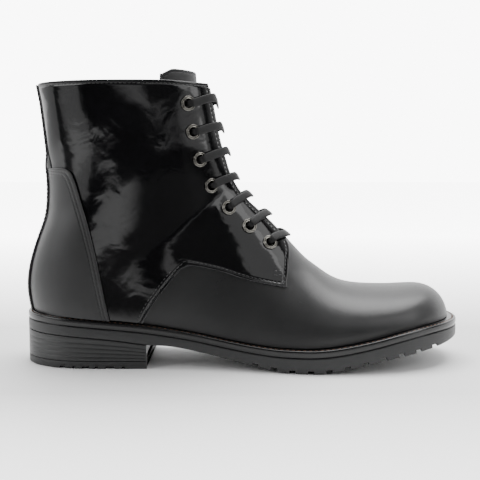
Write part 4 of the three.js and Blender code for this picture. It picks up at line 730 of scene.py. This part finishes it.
# the two free ends hang down inside the shaft, each with its metal tip
END_W, END_T, END_LEN, AGLET_LEN = 4.6, 2.5, 88, 17
for s, i, side in (("lateral", 0, -1), ("medial", 1, 1)):
    h = hole_at(i, side); p0 = h(-5.1, -1.3, -5.5)[0]; z0 = p0[2]; pts = [p0]
    for k in range(1, 8):
        z = z0 - END_LEN * k / 7; x = p0[0] - 8.5 * float(smooth(k / 7 * 2.2)); pts.append(surf(x, z, side, -5.2 - 1.6 * float(smooth((100 - z) / 40))))
    K = [(p, np.array([1.0, 0, 0]), END_W, END_T) for p in pts]; R = dense(K, 12); C = along(R[:, :3])(np.linspace(0, 1, 60))
    d = norm(pts[7] - pts[6]); a0 = pts[7] + d * 0.3
    # the aglet is a crimped tube, narrowed at its ends
    t = np.linspace(0, 1, 40); AC = a0 + d * AGLET_LEN * t[:, None]; r = np.where(t < 0.04, 0.85, np.where(t > 0.9, 1 - 0.35 * ((t - 0.9) / 0.1) ** 2, 1.0)) * (1 - 0.05 * np.exp(-((t - 0.15) / 0.03) ** 2))
    ag = sweep("aglet_tip_" + s, AC, np.tile([1.0, 0, 0], (40, 1)), 4.0 * r, 3.0 * r, "aglet_metal", sides=24, expo=2.3, slot="aglet_metal", replaces=["aglet_" + s])
    o = sweep("lace_tail_" + s, C, np.tile([1.0, 0, 0], (60, 1)), np.full(60, END_W), np.full(60, END_T), "waxed_lace", slot="waxed_lace", replaces=["lace_end_" + s])
    path = to_world(C); L = float(cum(path)[-1])

# ------------------------------------------------------------------ upper
STEP = 1.5
facing, bottom_c, counter_c = spline(FACING_EDGE), spline(QUARTER_BOTTOM), spline(COUNTER_EDGE)


def back_edge(uc, x_end):
    zz = np.linspace(COLLAR_Z, 35.6, 300); seam = along(np.stack([back_x(zz), zz], -1))

    def f(u):
        u = np.asarray(u, float); a = seam(np.clip(u / uc, 0, 1))
        b = feather(HEEL_X + (x_end - HEEL_X) * (1 - np.cos(np.pi / 2 * np.clip((u - uc) / (1 - uc), 0, 1))))
        return np.where((u <= uc + 1e-9)[..., None], a, b)
    return f


def eye_holes(side, r): return [(FRAMES[(i, side)][0], FRAMES[(i, side)][1], r) for i in range(7)]


for s, side in (("lateral", -1), ("medial", 1)):
    face, bot = along(facing), along(bottom_c)
    xb = float(back_x(COLLAR_Z)); top = lambda v: (lambda x: np.stack([x, collar_z(x)], -1))(126.1 + (xb - 126.1) * v)
    C = coons(top, bot, face, back_edge(2 / 3, 84))
    us = fractions(175, STEP, must=(2 / 3,))
    G = surface_grid(C, us, side, STEP, a=True, b=False, to_seam=True)
    N = grid_normals(G, side, True)
    o, D = panel("quarter_skin_" + s, G, N, 1.95, 3.3, "patent_leather", side, bevel=("top", "bottom", "left"), stitched=("top", "bottom", "left"), holes=eye_holes(side, 4.0), slot="patent_leather", replaces=["quarter_" + s])
    for which, dist, clear in (("bottom", 2.3, ("left",)), ("left", 2.3, ("top", "bottom")), ("top", 2.3, ("left",))):
        P, M = line_at(G, N, D, which, dist, 3.3, clear)
        if which == "top": m = P[:, 0] > back_x(COLLAR_Z) + 6; P, M = P[m], M[m]
        stitches(P, M, "thread_black")
    P, M = line_at(G, N, D, "bottom", 4.4, 3.3, ("left",)); m = P[:, 0] < 104; stitches(P[m], M[m], "thread_black")
    # lining
    f2 = along(spline([[x - 0.6, z - 0.4] for x, z in FACING_EDGE[:-4] + [[176, 85.8]]])); low = along(spline(LINING_LOW)); x0 = float(f2(np.array(0.0))[0])
    top2 = lambda v: (lambda x: np.stack([x, collar_z(x) - 0.4], -1))(x0 + (xb - x0) * v)
    us = fractions(170, STEP * 1.3, must=(2 / 3,)); Gl = surface_grid(coons(top2, low, f2, back_edge(2 / 3, 74.4)), us, side, STEP * 1.3, a=True, b=False, to_seam=True)
    panel("shaft_lining_" + s, Gl, grid_normals(Gl, side, True), 0.1, 1.35, "lining_leather", side, bevel=(), round_lo=("top", "left"), stitched=(), holes=eye_holes(side, 4.0), slot="lining_leather", replaces=["quarter_lining_" + s])
    # heel panel
    bi = int(np.argmax(counter_c[:, 1] < 132.4)); edge = along(counter_c[bi:]); zz = np.linspace(135, 35.6, 200)
    tp = along(np.concatenate([counter_c[: bi + 1][::-1], [[float(back_x(135)), 135.0]]])); bk = along(np.stack([back_x(zz), zz], -1)); ex = counter_c[-1][0]
    Kc = coons(tp, lambda v: feather(ex + (HEEL_X - ex) * v), edge, bk)
    Gc = surface_grid(Kc, fractions(104, STEP), side, STEP, a=True, b=False, to_seam=True); Nc = grid_normals(Gc, side, True)
    o, Dc = panel("heel_panel_" + s, Gc, Nc, 4.05, 5.3, "smooth_leather", side, bevel=("top", "left"), stitched=("top", "left"), slot="smooth_leather", replaces=["counter_panel_" + s])
    for dist in (2.1, 4.2):
        for which, clear in (("left", ("top",)), ("top", ("left",))):
            P, M = line_at(Gc, Nc, Dc, which, dist, 5.3, clear)
            if which == "top": m = np.abs(P[:, 1]) > 7; P, M = P[m], M[m]
            stitches(P, M, "thread_black")
    # bar tack at the foot of the facing
    for (xa, za, xb2, zb) in ((172.3, 63.8, 178.2, 63.6), (172.3, 61.3, 178.1, 61.2), (178.9, 61.2, 177.6, 58), (177.6, 58, 178.9, 54.9), (178.9, 61.2, 180.3, 58), (180.3, 58, 178.9, 54.9)):
        f = np.linspace(0, 1, 9); p, n = on_base(xa + (xb2 - xa) * f, za + (zb - za) * f, side)
        stitches(p + n * 3.3, n, "thread_black", pitch=2.6, length=2.4, r=0.34)

# back strip
zs = COLLAR_Z + (35.6 - COLLAR_Z) * fractions(160, 2.0); ks = np.linspace(-1, 1, 25)
ks = np.unique(np.concatenate([ks, [-0.985, -0.96, -0.94, 0.94, 0.96, 0.985]]))
half = np.where(zs > 135, 5.4 + 1.2 * (COLLAR_Z - zs) / 57, 6.6 + 3.4 * (135 - zs) / 100)
Wd = np.abs(ks)[None, :] * half[:, None]; Z = np.broadcast_to(zs[:, None], Wd.shape); X = x_at_width(Z, Wd, False)
G = np.stack([X, np.sign(ks)[None, :] * np.where(np.abs(ks) < 1e-9, 0, half_width(X, Z)), Z], -1)
for c in (0, 1): G[:, :, c] = gauss(G[:, :, c], 1.2)
N = np.cross(np.gradient(G, axis=0), np.gradient(G, axis=1)); N /= np.linalg.norm(N, axis=-1, keepdims=True); N *= np.sign(-N[..., 0].mean())
lift = smooth((146 - zs) / 10)[:, None]
o, D = panel("back_strap", G, N, 3.8 + (5.85 - 3.8) * lift, 4.9 + (6.9 - 4.9) * lift, "smooth_leather", None, stitched=("left", "right"), slot="smooth_leather", replaces=["back_strip"])
for w in ("left", "right"):
    P, M = line_at(G, N, D, w, 1.7, 0, ())
    P = P + M * np.interp(P[:, 2], zs[::-1], (4.9 + 2.0 * lift[:, 0])[::-1])[:, None]
    stitches(P, M, "thread_black", r=0.26)

# vamp: one piece from the outer feather over the ridge to the inner feather
rear = along(spline(VAMP_REAR)[::-1]); rx = np.concatenate([np.linspace(178.6, 270, 200), np.linspace(270, TOE_X, 120)[1:]])
rp = front_line[(front_line[:, 0] > 178.6) & (front_line[:, 1] < 95)]; rp = rp[rp[:, 1] > TOE[1] + 0.3]
ridge = along(np.concatenate([[[178.6, float(ridge_z(178.6))]], rp, [TOE]])); fe = along(feather(77.4 + (TOE_X - 77.4) * np.sin(np.pi / 2 * np.linspace(0, 1, 200))))
K = coons(rear, lambda v: np.broadcast_to(TOE, np.shape(v) + (2,)), fe, ridge)
us = fractions(150, STEP, b=False); us = np.unique(np.concatenate([us[us < 0.97], np.linspace(0.97, 1, 8)]))
H = surface_grid(K, us, -1, STEP, a=True, b=False)
H[:, -1, 1] = 0; rr = ridge(us); H[:, -1, 0], H[:, -1, 2] = rr[:, 0], rr[:, 1]
H[-1] = [TOE_X, 0, TOE[1]]
G = np.concatenate([H, (H * [1, -1, 1])[:, ::-1][:, 1:]], 1)
c = H.shape[1] - 1; wgt = np.exp(-(((np.arange(G.shape[1]) - c) * STEP / 9.0) ** 2))[None, :, None]
S = np.stack([gauss(G[i], 2.6 / STEP * (1 if us[i] < 0.97 else 0.4)) for i in range(len(G))]); G = G * (1 - wgt) + S * wgt
N = np.cross(np.gradient(G, axis=0), np.gradient(G, axis=1)); l = np.linalg.norm(N, axis=-1, keepdims=True)
N = N / np.maximum(l, 1e-12); N *= np.sign(N[len(N) // 2, c, 2]); N[-1] = [1, 0, 0]
sink = -0.4 * (1 - smooth(us / 0.125))[:, None]
o, D = panel("vamp_skin", G, N, sink, 1.4 + sink, "vamp_leather", None, bevel=("top",), slot="smooth_leather", replaces=["vamp"])

# tongue, with its lining
def tongue_grid(trim, step):
    z_lo, z_hi = TONGUE_Z0 + trim * 0.5, TONGUE_TOP - trim; us = fractions(z_hi - z_lo, step); z0 = z_lo + (z_hi - z_lo) * us
    ks = fractions(60, step) * 2 - 1; half = (13 + 10.5 * smooth((z0 - 84) / 60) + 10.5 * smooth((z0 - 150) / 28) - trim)[:, None]
    k = np.abs(ks)[None, :]; Z = z0[:, None] - 4 * smooth((k - 0.88) / 0.12) * smooth((us[:, None] - 0.88) / 0.12)
    X = x_at_width(Z, k * half, True); G = np.stack([X, np.sign(ks)[None, :] * np.where(k < 1e-9, 0, half_width(X, Z)), Z], -1)
    for i in range(len(G)): G[i] = G[i] * (1 - np.exp(-((ks * 30 / 8) ** 2)))[:, None] + gauss(G[i], 3 / step) * np.exp(-((ks * 30 / 8) ** 2))[:, None]
    N = np.cross(np.gradient(G, axis=0), np.gradient(G, axis=1)); N /= np.linalg.norm(N, axis=-1, keepdims=True); N *= np.sign(N[..., 0].mean())
    t = np.minimum(0.65 * np.abs(G[..., 1]) / 12.5, 0.995); n1 = np.clip(N[..., 1], -0.999, 0.999); f = np.where(np.abs(n1) > t, np.sqrt((1 - t * t) / (1 - n1 * n1)), 1.0)
    N = np.stack([N[..., 0] * f, np.where(np.abs(n1) > t, np.sign(n1) * t, n1), N[..., 2] * f], -1)
    return G, N, z0


tongue_level = lambda z: -4.7 - 4.1 * smooth((z - 79) / 8) - 3.2 * smooth((z - 150) / 45)
G, N, z0 = tongue_grid(0, STEP); l = tongue_level(z0)[:, None]
o, D = panel("tongue_skin", G, N, l - 1.5, l, "tongue_leather", None, stitched=("left", "right", "bottom"), R=0.6, body="tongue", slot="smooth_leather", replaces=["tongue"])
for w, cl in (("left", ("bottom",)), ("right", ("bottom",)), ("bottom", ("left", "right"))):
    P, M = line_at(G, N, D, w, 2.0, 0, cl); P = P + M * tongue_level(P[:, 2])[:, None]; stitches(P, M, "thread_tongue")
G, N, z0 = tongue_grid(1.2, STEP * 1.4); l = tongue_level(z0)[:, None]
panel("tongue_backing", G, N, l - 3.1, l - 2.0, "lining_leather", None, bevel=(), round_lo=("top", "bottom", "left", "right"), body="tongue", slot="lining_leather", replaces=["tongue_lining"])

# ------------------------------------------------------------------ eyelets: rolled rings with a barrel and a clenched foot
prof = [(2.75, -1.9), (3.4, -2.0), (4.2, -1.95), (4.55, -1.75), (4.3, -1.5), (3.5, -1.1), (3.3, -0.8), (3.3, 3.4), (3.35, 3.7), (4.6, 3.72), (4.95, 3.85), (5.04, 4.08), (4.98, 4.34), (4.8, 4.5), (4.58, 4.5), (4.42, 4.36), (4.28, 4.16), (4.1, 4.1), (3.94, 4.22), (3.8, 4.48), (3.62, 4.68), (3.38, 4.74), (3.12, 4.62), (2.94, 4.4), (2.82, 4.1), (2.75, 3.7)]
for s, side in (("lateral", -1), ("medial", 1)):
    for i in range(7):
        c, n, col, edge = FRAMES[(i, side)]; K = 56; a = 2 * np.pi * np.arange(K) / K
        V = np.concatenate([c + n * y + r * (np.cos(a)[:, None] * edge + np.sin(a)[:, None] * col) for r, y in prof]); m = len(prof)
        F = [(j * K + k, j * K + (k + 1) % K, ((j + 1) % m) * K + (k + 1) % K, ((j + 1) % m) * K + k) for j in range(m) for k in range(K)]
        make_object(f"eyelet_ring_{s}_{i + 1}", V, F, "eyelet_metal", slot="eyelet_metal", replaces=[f"eyelet_{s}_{i + 1}"], angle=70)

# ------------------------------------------------------------------ sole unit
xs = HEEL_X + (TOE_X - HEEL_X) * (1 - np.cos(np.pi * np.linspace(0, 1, 700))) / 2
w = half_width(xs, feather_z(xs)); w[0] = w[-1] = 0
loop = np.concatenate([np.stack([xs, -w], -1), np.stack([xs, w], -1)[::-1][1:-1]])
LOOP_N = 520


def even_loop(P, n=LOOP_N):
    Q = np.concatenate([P, P[:1]]); return along(Q)(np.arange(n) / n)


base_loop = even_loop(gauss(even_loop(loop, 1400), 5.0, closed=True), LOOP_N)
_t = gauss(np.roll(base_loop, -1, 0) - np.roll(base_loop, 1, 0), 3, closed=True); _t /= np.linalg.norm(_t, axis=1, keepdims=True)
LN = np.stack([_t[:, 1], -_t[:, 0]], -1)   # outward
if (LN * (base_loop - base_loop.mean(0))).sum() < 0: LN = -LN


def offset(o): return base_loop + LN * (np.asarray(o)[..., None] if np.ndim(o) else o)


MARGIN = welt_margin(base_loop[:, 0])


def ring_mesh(name, rows, material, cap_top=None, cap_bottom=None, closed=False, loops=None, **kw):
    """rows: (loop xy, z) arrays from the top ring to the bottom ring; caps close to the middle line"""
    V, n = [], len(rows[0][0])
    for P, z in rows: V.append(np.column_stack([P, np.broadcast_to(z, n)]))
    F = []; m = len(rows)
    for r in range(m if closed else m - 1):
        a, b = r * n, ((r + 1) % m) * n; k = np.arange(n); k2 = (k + 1) % n
        F += np.stack([a + k, a + k2, b + k2, b + k], -1).tolist()
    if not closed:
        for first, zf in ((True, cap_top), (False, cap_bottom)):
            P, z = rows[0] if first else rows[-1]; prev = 0 if first else (m - 1) * n
            for f in (0.96, 0.85, 0.65, 0.35, 0.0):
                Q = P * [1, f]; zz = zf(Q) if zf else np.broadcast_to(z, n); V.append(np.column_stack([Q, zz])); cur = (len(V) - 1) * n
                k = np.arange(n); k2 = (k + 1) % n; F += np.stack([prev + k, prev + k2, cur + k2, cur + k], -1).tolist(); prev = cur
    return make_object(name, warp(np.concatenate(V)), F, material, weld=1e-6, **kw)


# welt: groove for the stitches, rounded outer edge
fz = lambda P: feather_z(P[:, 0])
prof = [(-WELT_INSET, 0.0), (-3, 0.0), (0.3, 0.0), (1.2, -0.05)]
rows = []
for o_, dz in prof: P = offset(o_); rows.append((P, fz(P) + dz))
for back_off, dz in ((3.4, -0.12), (2.95, -0.18), (2.75, -0.62), (2.35, -0.74), (1.95, -0.62), (1.75, -0.2), (1.1, -0.22), (0.6, -0.36), (0.25, -0.62), (0.06, -1.0), (0.0, -1.5), (0.0, -2.6), (0.05, -3.6), (0.35, -4.3), (0.45, -4.75), (0.35, -5.0)):
    P = offset(MARGIN - back_off); rows.append((P, fz(P) + dz))
P = offset(-WELT_INSET); rows.append((P, fz(P) - 5.0))
ring_mesh("welt_strip", rows, "welt_leather", closed=True, slot="welt_leather", replaces=["welt"], angle=50)
# the welt's lock stitches lie in the groove
P = offset(MARGIN - 2.35); Q = np.column_stack([P, fz(P) - 0.55]); Q = np.concatenate([Q, Q[:1]]); Q = warp(Q)
stitches(Q, np.tile([0.0, 0, 1], (len(Q), 1)), "thread_brown", pitch=3.8, length=2.7, r=0.36, sink=0.0, warped=False)

# outsole
top_z = lambda P: feather_z(P[:, 0]) - WELT_T - 0.4
bot_z = lambda P: sole_bottom_z(P[:, 0])
rows = []
for inset, f, d in ((0.5, 0, 0.0), (0.12, 0, -0.15), (0.0, 0, -0.5), (0.0, 0, -1.2), (0.0, 0.3, 0), (-0.12, 0.5, 0), (0.0, 0.7, 0), (0.0, 1, 0.9), (0.12, 1, 0.35), (0.5, 1, 0.0)):
    P = offset(MARGIN - inset); t, b = top_z(P), bot_z(P); rows.append((P, t + (b - t) * f + d))
sole = ring_mesh("sole_unit", rows, "sole_rubber", cap_top=top_z, cap_bottom=bot_z, slot="sole_rubber", replaces=["outsole"], angle=50)


def cut(target, boxes):
    """cut boxes, given as centre, half size and slope about Y, out of a piece"""
    bm = bmesh.new()
    for c, h, slope in boxes:
        vs = []
        for sx in (-1, 1):
            for sy in (-1, 1):
                for sz in (-1, 1):
                    x, y, z = sx * h[0], sy * h[1], sz * h[2]; ca, sa = math.cos(slope), math.sin(slope)
                    vs.append(bm.verts.new(to_world(np.array([c[0] + x * ca - z * sa, c[1] + y, c[2] + x * sa + z * ca])).tolist()))
        for f in ((0, 1, 3, 2), (4, 6, 7, 5), (0, 4, 5, 1), (2, 3, 7, 6), (0, 2, 6, 4), (1, 5, 7, 3)): bm.faces.new([vs[i] for i in f])
    bmesh.ops.recalc_face_normals(bm, faces=bm.faces)
    me = bpy.data.meshes.new("cutter"); bm.to_mesh(me); bm.free()
    co = bpy.data.objects.new("cutter", me); bpy.context.scene.collection.objects.link(co)
    mod = target.modifiers.new("cut", "BOOLEAN"); mod.operation = "DIFFERENCE"; mod.solver = "EXACT"; mod.object = co
    bpy.context.view_layer.update()
    ev = target.evaluated_get(bpy.context.evaluated_depsgraph_get()); new = bpy.data.meshes.new_from_object(ev)
    target.modifiers.clear(); old = target.data; target.data = new; bpy.data.meshes.remove(old)
    bpy.data.objects.remove(co); bpy.data.meshes.remove(me)
    target.data.shade_smooth(); target.data.set_sharp_from_angle(angle=math.radians(35))


lugs = []
x = LUG_FIRST_X
while x <= LUG_LAST_X:
    z = float(sole_bottom_z(x)); slope = math.atan2(float(sole_bottom_z(x + 3) - sole_bottom_z(x - 3)), 6)
    lugs.append(((x, 0, z), (LUG_W / 2, 70, LUG_DEPTH), slope)); x += LUG_PITCH
cut(sole, lugs)

# heel: stacked layers, then the top lift with its side notches
hb = even_loop(np.concatenate([offset(MARGIN), offset(MARGIN)[:1]]), 1600); hb = hb[hb[:, 0] < HEEL_BREAST_X]
o_ = np.argsort(np.arctan2(hb[:, 1], -(hb[:, 0] - 60))); hb = hb[o_]                       # from the outer side round the back
wy = abs(hb[0, 1]); side_pts = along(hb)(np.linspace(0, 1, 260))
br = np.linspace(side_pts[-1, 1], side_pts[0, 1], 60)[1:-1]
cx = lambda y: HEEL_BREAST_X - 2.2 * (1 - (y / wy) ** 2)
heel_loop = np.concatenate([side_pts, np.stack([cx(br), br], -1)])
cen = np.array([48.0, 0.0])
_ht = np.roll(heel_loop, -1, 0) - np.roll(heel_loop, 1, 0); _ht /= np.linalg.norm(_ht, axis=1, keepdims=True)
HN = np.stack([_ht[:, 1], -_ht[:, 0]], -1)
if (HN * (heel_loop - cen)).sum() < 0: HN = -HN


def heel_rows(z_top, z_bot, grooves):
    rows = []
    for inset, z in [(0.45, 0.0), (0.1, -0.12), (0.0, -0.4)]:
        P = heel_loop - HN * inset; rows.append((P, z_top(P) + z))
    for f in grooves:
        for inset, dz in ((0.0, 0.22), (0.13, 0.08), (0.13, -0.08), (0.0, -0.22)):
            P = heel_loop - HN * inset; t, b = z_top(P), z_bot(P); rows.append((P, t + (b - t) * f + dz))
    for inset, z in [(0.0, 0.4), (0.1, 0.12), (0.45, 0.0)]:
        P = heel_loop - HN * inset; rows.append((P, z_bot(P) + z))
    return rows


ring_mesh("heel_stack_layers", heel_rows(lambda P: sole_bottom_z(P[:, 0]) - 0.3, lambda P: np.full(len(P), LIFT_T + 0.3), (0.22, 0.42, 0.62, 0.81)), "heel_stack", slot="heel_stack", replaces=["heel_block"], angle=50)
lift_o = ring_mesh("top_lift_pad", heel_rows(lambda P: np.full(len(P), LIFT_T), lambda P: np.zeros(len(P)), (0.5,)), "lift_rubber", slot="sole_rubber", replaces=["heel_top_lift"], angle=50)
cut(lift_o, [(((a + b) / 2, sd * 37, 0), ((b - a) / 2, 15, 1.7), 0.0) for a, b in HEEL_NOTCHES for sd in (-1, 1)])

for g, (V, F) in THREADS.items():
    make_object({"thread_black": "upper_stitching", "thread_tongue": "tongue_stitching", "thread_brown": "welt_stitching"}[g], np.array(V), F,
                "thread_brown" if g == "thread_brown" else "thread_black", body="tongue" if g == "thread_tongue" else "boot",
                slot="welt_leather" if g == "thread_brown" else "smooth_leather", weld=0, angle=80)

# ------------------------------------------------------------------ CAD nodes that stay, with their own finishes
for node, mat in {"vamp_lining": "lining_leather", "toe_puff": "fibre_board", "heel_stiffener": "fibre_board", "heel_grip_lining": "grip_suede", "cork_filler": "cork", "shank": "spring_steel", "insole_board": "fibre_board", "sock_liner": "sock_leather"}.items():
    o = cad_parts[node]; o.data.materials.clear(); o.data.materials.append(MATS[mat])

# ------------------------------------------------------------------ studio
floor_m = bpy.data.materials.new("floor"); floor_m.use_nodes = True
ft = floor_m.node_tree; fb = next(n for n in ft.nodes if n.type == "BSDF_PRINCIPLED"); fb.inputs["Roughness"].default_value = 0.6
# the table ends in darkness in front of the boot, as far as reflections go
fx, fp = N_(ft, "ShaderNodeSeparateXYZ", {"Vector": ft.nodes.new("ShaderNodeNewGeometry").outputs["Position"]}).outputs[:2]
gl = ft.nodes.new("ShaderNodeLightPath").outputs["Is Glossy Ray"]
left = math_(ft, "MULTIPLY", ramp(ft, fp, 1.0, 0.0, -0.58, -0.5), ramp(ft, fx, 1.0, 0.0, -0.14, -0.02))
dark = math_(ft, "MULTIPLY", ramp(ft, fp, 1.0, 0.0, -0.24, -0.12), math_(ft, "SUBTRACT", 1.0, left))
ft.links.new(mixc(ft, math_(ft, "MULTIPLY", gl, dark), (0.94, 0.94, 0.94), (0.02, 0.02, 0.02)), fb.inputs["Base Color"])
cam_ray = next(n for n in ft.nodes if n.type == "LIGHT_PATH").outputs["Is Camera Ray"]
ft.links.new(math_(ft, "MULTIPLY", cam_ray, math_(ft, "MAXIMUM", ramp(ft, fp, 0.0, 7.0, 0.1, 0.9), ramp(ft, fp, 1.6, 0.0, -0.3, -0.1))), fb.inputs["Emission Strength"])
fb.inputs["Emission Color"].default_value = (1, 1, 1, 1)
fm = bpy.data.meshes.new("floor"); fm.from_pydata([(-4, -4, 0), (4, -4, 0), (4, 4, 0), (-4, 4, 0)], [], [(0, 1, 2, 3)])
fo = bpy.data.objects.new("floor", fm); bpy.context.scene.collection.objects.link(fo); fm.materials.append(floor_m)


def area(name, loc, target, size, power, size_y=None, col=(1, 1, 1)):
    L = bpy.data.lights.new(name, "AREA"); L.energy = power; L.size = size; L.color = col
    if size_y: L.shape = "RECTANGLE"; L.size_y = size_y
    o = bpy.data.objects.new(name, L); o.location = loc
    o.rotation_euler = (Vector(target) - Vector(loc)).to_track_quat("-Z", "Y").to_euler()
    bpy.context.scene.collection.objects.link(o); return o


area("soft_left", (-1.3, -0.6, 0.75), (0, 0, 0.1), 1.1, 12, 0.9)
area("soft_right", (1.15, -0.8, 0.85), (0, 0, 0.1), 0.9, 10, 1.3)
area("soft_top", (0.15, 0.3, 1.2), (0.05, 0, 0), 1.3, 24, 0.8)

# soft boxes in front of the boot, seen only in its patent leather
box_m = bpy.data.materials.new("soft_box"); box_m.use_nodes = True
bb = next(n for n in box_m.node_tree.nodes if n.type == "BSDF_PRINCIPLED"); bb.inputs["Base Color"].default_value = (0, 0, 0, 1)
bb.inputs["Emission Color"].default_value = (1, 1, 1, 1); bb.inputs["Emission Strength"].default_value = 1.0
for name, loop_xz in (("soft_box_right", [(-0.3, 0.17), (-0.1, 0.13), (0.06, 0.095), (0.3, 0.095), (0.6, 0.12), (1.5, 0.15), (4, 0.3), (4, 0.6), (1.3, 0.3), (0.8, 0.2), (0.6, 0.135), (0.3, 0.112), (0.12, 0.118), (0.0, 0.17), (-0.3, 0.23)]),
                      ("soft_box_high", [(0.03, 0.58), (0.2, 0.59), (0.4, 0.66), (0.83, 0.46), (2, 0.4), (2, 1.6), (0.03, 1.6)]),
                      ("soft_box_left", [(-3, 0.002), (-0.72, 0.002), (-0.84, 0.06), (-1.0, 0.09), (-3, 0.2)])):
    bm_ = bpy.data.meshes.new(name); bm_.from_pydata([(x, -0.9, z) for x, z in loop_xz], [], [tuple(range(len(loop_xz)))])
    bo = bpy.data.objects.new(name, bm_); bpy.context.scene.collection.objects.link(bo); bm_.materials.append(box_m)
    bo.visible_camera = False; bo.visible_diffuse = False; bo.visible_shadow = False
# a black flag between them hides the far floor
flag_m = bpy.data.materials.new("flag"); flag_m.use_nodes = True
bb = next(n for n in flag_m.node_tree.nodes if n.type == "BSDF_PRINCIPLED"); bb.inputs["Base Color"].default_value = (0.002, 0.002, 0.002, 1); bb.inputs["Specular IOR Level"].default_value = 0.0
fl = bpy.data.meshes.new("flag"); loop_xz = [(-1.0, 0.09), (-0.84, 0.06), (-0.71, 0.01), (-0.35, 0.035), (-0.2, 0.002), (0.6, 0.002), (0.6, 0.118), (0.3, 0.093), (0.06, 0.093), (-0.1, 0.128), (-0.3, 0.168), (-0.3, 0.6), (-1.0, 0.6)]
fl.from_pydata([(x, -0.905, z) for x, z in loop_xz], [], [tuple(range(len(loop_xz)))])
fo2 = bpy.data.objects.new("flag", fl); bpy.context.scene.collection.objects.link(fo2); fl.materials.append(flag_m)
fo2.visible_camera = False; fo2.visible_diffuse = False; fo2.visible_shadow = False

world = bpy.data.worlds.new("studio"); bpy.context.scene.world = world; world.use_nodes = True
wt = world.node_tree; wt.nodes.clear()
tc = wt.nodes.new("ShaderNodeTexCoord"); sp = wt.nodes.new("ShaderNodeSeparateXYZ"); wt.links.new(tc.outputs["Generated"], sp.inputs[0])
back = N_(wt, "ShaderNodeMapRange", {"Value": sp.outputs[1], "From Min": -0.1, "From Max": 0.4, "To Min": 0.05, "To Max": 2.2}).outputs["Result"]
lp = wt.nodes.new("ShaderNodeLightPath"); mx = math_(wt, "MAXIMUM", math_(wt, "MULTIPLY", lp.outputs["Is Camera Ray"], 9.0), back)
bg = wt.nodes.new("ShaderNodeBackground"); wt.links.new(mx, bg.inputs["Strength"]); bg.inputs["Color"].default_value = (1, 1, 1, 1)
out = wt.nodes.new("ShaderNodeOutputWorld"); wt.links.new(bg.outputs[0], out.inputs[0])
